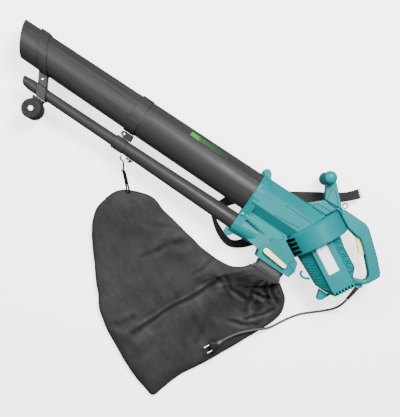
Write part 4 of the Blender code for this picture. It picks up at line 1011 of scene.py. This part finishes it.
def strip_route(side, corners):
    """Plan points on a side strip of the motor block: place along the axis, share of the strip's width."""
    route = []
    for a, share in corners:
        for first, last in zip(STRIP_STATIONS, STRIP_STATIONS[1:]):
            if first[0] <= a <= last[0]:
                t = (a - first[0]) / (last[0] - first[0])
                left, block_left, block_right, right = (u + (v - u) * t for u, v in zip(first[1:], last[1:]))
        edge, inner = (left, block_left) if side == "left" else (right, block_right)
        route.append(motor_point(a, edge + (inner - edge) * share)[:2])
    return route


def housing_detail(paints):
    """Moulded grooves and the framed ribs on the motor block's sides, as near-black lines of painted shade,
    and the strips between the tubes in a lighter teal that paints their highlight.
    """
    tree = surface_tree((
        "duct_shell_left", "duct_shell_right", "body_shell_left", "body_shell_right", "fan_casing",
        "front_handle_post",
    ))
    grooves = [
        [(-126.0, 17.7), (-34.0, 16.7)],
        [(-134.0, -21.5), (-57.0, -13.0)],
        [(-26.7, -111.7), (-5.7, -118.4), (-7.1, -144.2)],
        [(-26.7, -111.7), (-13.0, -89.0)],
        [(-21.7, 55.0), (-52.8, 56.5), (-54.7, 66.2), (-46.5, 74.6), (2.0, 77.1)],
        [
            (-31.6, 97.3), (-35.6, 126.0), (-31.7, 133.0), (-26.0, 132.0), (8.7, 98.2), (4.8, 94.9),
            (-31.6, 97.3),
        ],
        [(-31.0, 94.0), (25.7, 88.5)],
        [(16.5, 100.0), (29.6, 83.5)],
        [
            (186.0, -19.0), (180.0, -7.0), (144.0, 29.0), (122.0, 48.0), (106.0, 61.0), (90.0, 61.5),
            (62.0, 67.5),
        ],
    ]
    # grooves drawn in near-black teal: painted shade
    etched("housing_grooves", tree, grooves, paints["teal_groove_shade"])
    ribs = []
    for k in range(6):
        a = 36.0 + 17.0 * k
        frame_line = [(a, 0.16), (a + 9.0, 0.84), (a + 17.0, 0.84), (a + 8.0, 0.16), (a, 0.16)]
        ribs.append(strip_route("left", frame_line))
    for k in range(4):
        a = 40.0 + 21.0 * k
        frame_line = [(a, 0.84), (a + 11.0, 0.16), (a + 26.0, 0.16), (a + 15.0, 0.84), (a, 0.84)]
        ribs.append(strip_route("right", frame_line))
    ribs.append(strip_route("left", [(32.0, 0.06), (62.0, 0.06), (128.0, 0.06), (150.0, 0.06)]))
    ribs.append(strip_route("right", [(32.0, 0.06), (62.0, 0.06), (128.0, 0.06), (150.0, 0.10)]))
    etched("side_strip_grooves", tree, ribs, paints["teal_groove_shade"], radius=0.75)
    flange_edge = [(-209.0, -50.0), (-214.0, -30.0), (-214.0, 24.0), (-209.0, 45.0)]
    # flange edge line in the lighter teal: painted highlight
    etched("housing_edges", tree, [flange_edge], paints["teal_highlight_paint"], radius=1.4, lift=0.2)
    for sign, name in ((1.0, "upper"), (-1.0, "lower")):
        strip = [(-200.0, -59.0), (-200.0, -69.0), (-94.0, -84.0), (-74.0, -62.0), (-84.0, -54.0)]
        low, high = sorted((30.0 * sign, 36.2 * sign))
        # strips in the lighter teal: painted highlight
        web = add_piece("web_strip_" + name, prism(strip, low, high), paints["teal_highlight_paint"])
        round_edges(web, 1.2)


def flange_lugs(paints):
    """Ears on the duct's flange, one beside each tube, in the lighter teal that paints a highlight on them.
    """
    upper = [
        (-226.5, 50.0), (-226.2, 60.0), (-224.5, 70.5), (-218.4, 78.5), (-209.5, 79.8), (-203.0, 74.4),
        (-199.5, 62.0), (-199.0, 50.0),
    ]
    lower = [
        (-225.5, -120.0), (-224.0, -130.0), (-219.0, -139.0), (-212.2, -141.5), (-205.5, -139.5),
        (-201.5, -131.0), (-200.0, -120.0),
    ]
    for name, outline in (("upper", upper), ("lower", lower)):
        smooth = [(point.x, point.y) for point in smooth_path([(x, y, 0.0) for x, y in outline], 4)]
        plate = prism(smooth, -5.0, 5.0)
        lug = add_piece("flange_lug_" + name, plate, paints["teal_highlight_paint"], angle=50.0)
        round_edges(lug, 1.8, 3, 50.0)


def handle_gusset(paints):
    """Web between the foot of the front handle, the casing and the grip."""
    corners = [
        (12.0, 103.0, 0.0), (5.0, 93.0, 0.0), (3.0, 84.0, 0.0), (17.0, 87.0, 0.0), (27.0, 86.0, 0.0),
        (32.0, 94.0, 0.0), (25.0, 102.0, 0.0),
    ]
    web = prism([(point.x, point.y) for point in smooth_loop(corners, 4)], -7.0, 7.0)
    piece = add_piece("handle_gusset", web, paints["teal"], angle=50.0)
    round_edges(piece, 1.0, 2, 50.0)


def grip_caps(paints):
    """Rounded ends of the crosswise front grip."""
    centre = (-61.5, 151.5)
    profile = [(36.0, 17.1), (38.0, 18.2), (46.0, 18.8), (52.0, 17.6), (56.0, 14.0), (58.4, 9.0), (59.2, 3.0)]
    for sign, name in ((1.0, "upper"), (-1.0, "lower")):
        rings = []
        for z, radius in profile:
            rings.append([(x, y, z * sign) for x, y in circle(radius, 40, centre)])
        add_piece("grip_cap_" + name, skin(rings), paints["teal"], angle=60.0)


def slot_shade_sheet(paints):
    """Near-black sheet behind the slots in the fan casing, painted shade that darkens them: an arc with a
    ledge at its foot.
    """
    rings = []
    section = [(-30.0, 76.5), (22.0, 76.5), (22.0, 78.0), (-30.0, 78.0)]
    for k in range(15):
        turn = math.radians(3.0 + 57.0 * k / 14.0)
        ring = []
        for a, radius in section:
            x, y, z = motor_point(a, -radius * math.cos(turn))
            ring.append((x, y, radius * math.sin(turn)))
        rings.append(ring)
    add_piece("slot_shade_sheet", skin(rings), paints["slot_shade"])
    ledge = [(-30.0, -81.6), (22.0, -81.6), (22.0, -75.0), (-30.0, -75.0)]
    plate = prism([motor_point(a, b)[:2] for a, b in ledge], 2.0, 4.0)
    add_piece("slot_shade_ledge", plate, paints["slot_shade"])


def joint_ribs_highlit(paints):
    """Raised ribs on the two joint collars, in a lighter grey than the tubes that paints their highlight."""
    tree = surface_tree(("suction_tube_front", "suction_tube_rear", "blower_tube_front", "blower_tube_rear"))
    marks = [[(-585.5, 19.0), (-583.5, -17.0)], [(-587.0, -91.0), (-586.0, -101.0)]]
    etched("joint_rib_highlights", tree, marks, paints["rib_highlight"], radius=1.3, lift=0.2)


def wheel_faces(paints):
    """Ribs on the outer face of each wheel: three rings and six spokes."""
    centre, face = (-861.0, -150.0), 31.0
    radii = (11.0, 17.0, 23.0)
    for name, sign in (("wheel_left", 1.0), ("wheel_right", -1.0)):
        rings = [[(x, y, face * sign) for x, y in circle(radius, 40, centre)] for radius in radii]
        add_lines(name + "_rings", rings, 0.9, paints["black"], name, closed=True)
        ends = zip(circle(radii[0], 6, centre), circle(radii[-1], 6, centre))
        spokes = [[(x, y, face * sign) for x, y in spoke] for spoke in ends]
        add_lines(name + "_spokes", spokes, 0.9, paints["black"], name)


def main():
    camera()
    studio()
    floor()
    paints = make_paints()
    dress_nodes(paints)
    bag(paints)
    bag_trim(paints)
    hook_and_elastic(paints)
    strap(paints)
    cord(paints)
    housing_detail(paints)
    flange_lugs(paints)
    handle_gusset(paints)
    grip_caps(paints)
    slot_shade_sheet(paints)
    joint_ribs_highlit(paints)
    wheel_faces(paints)


main()
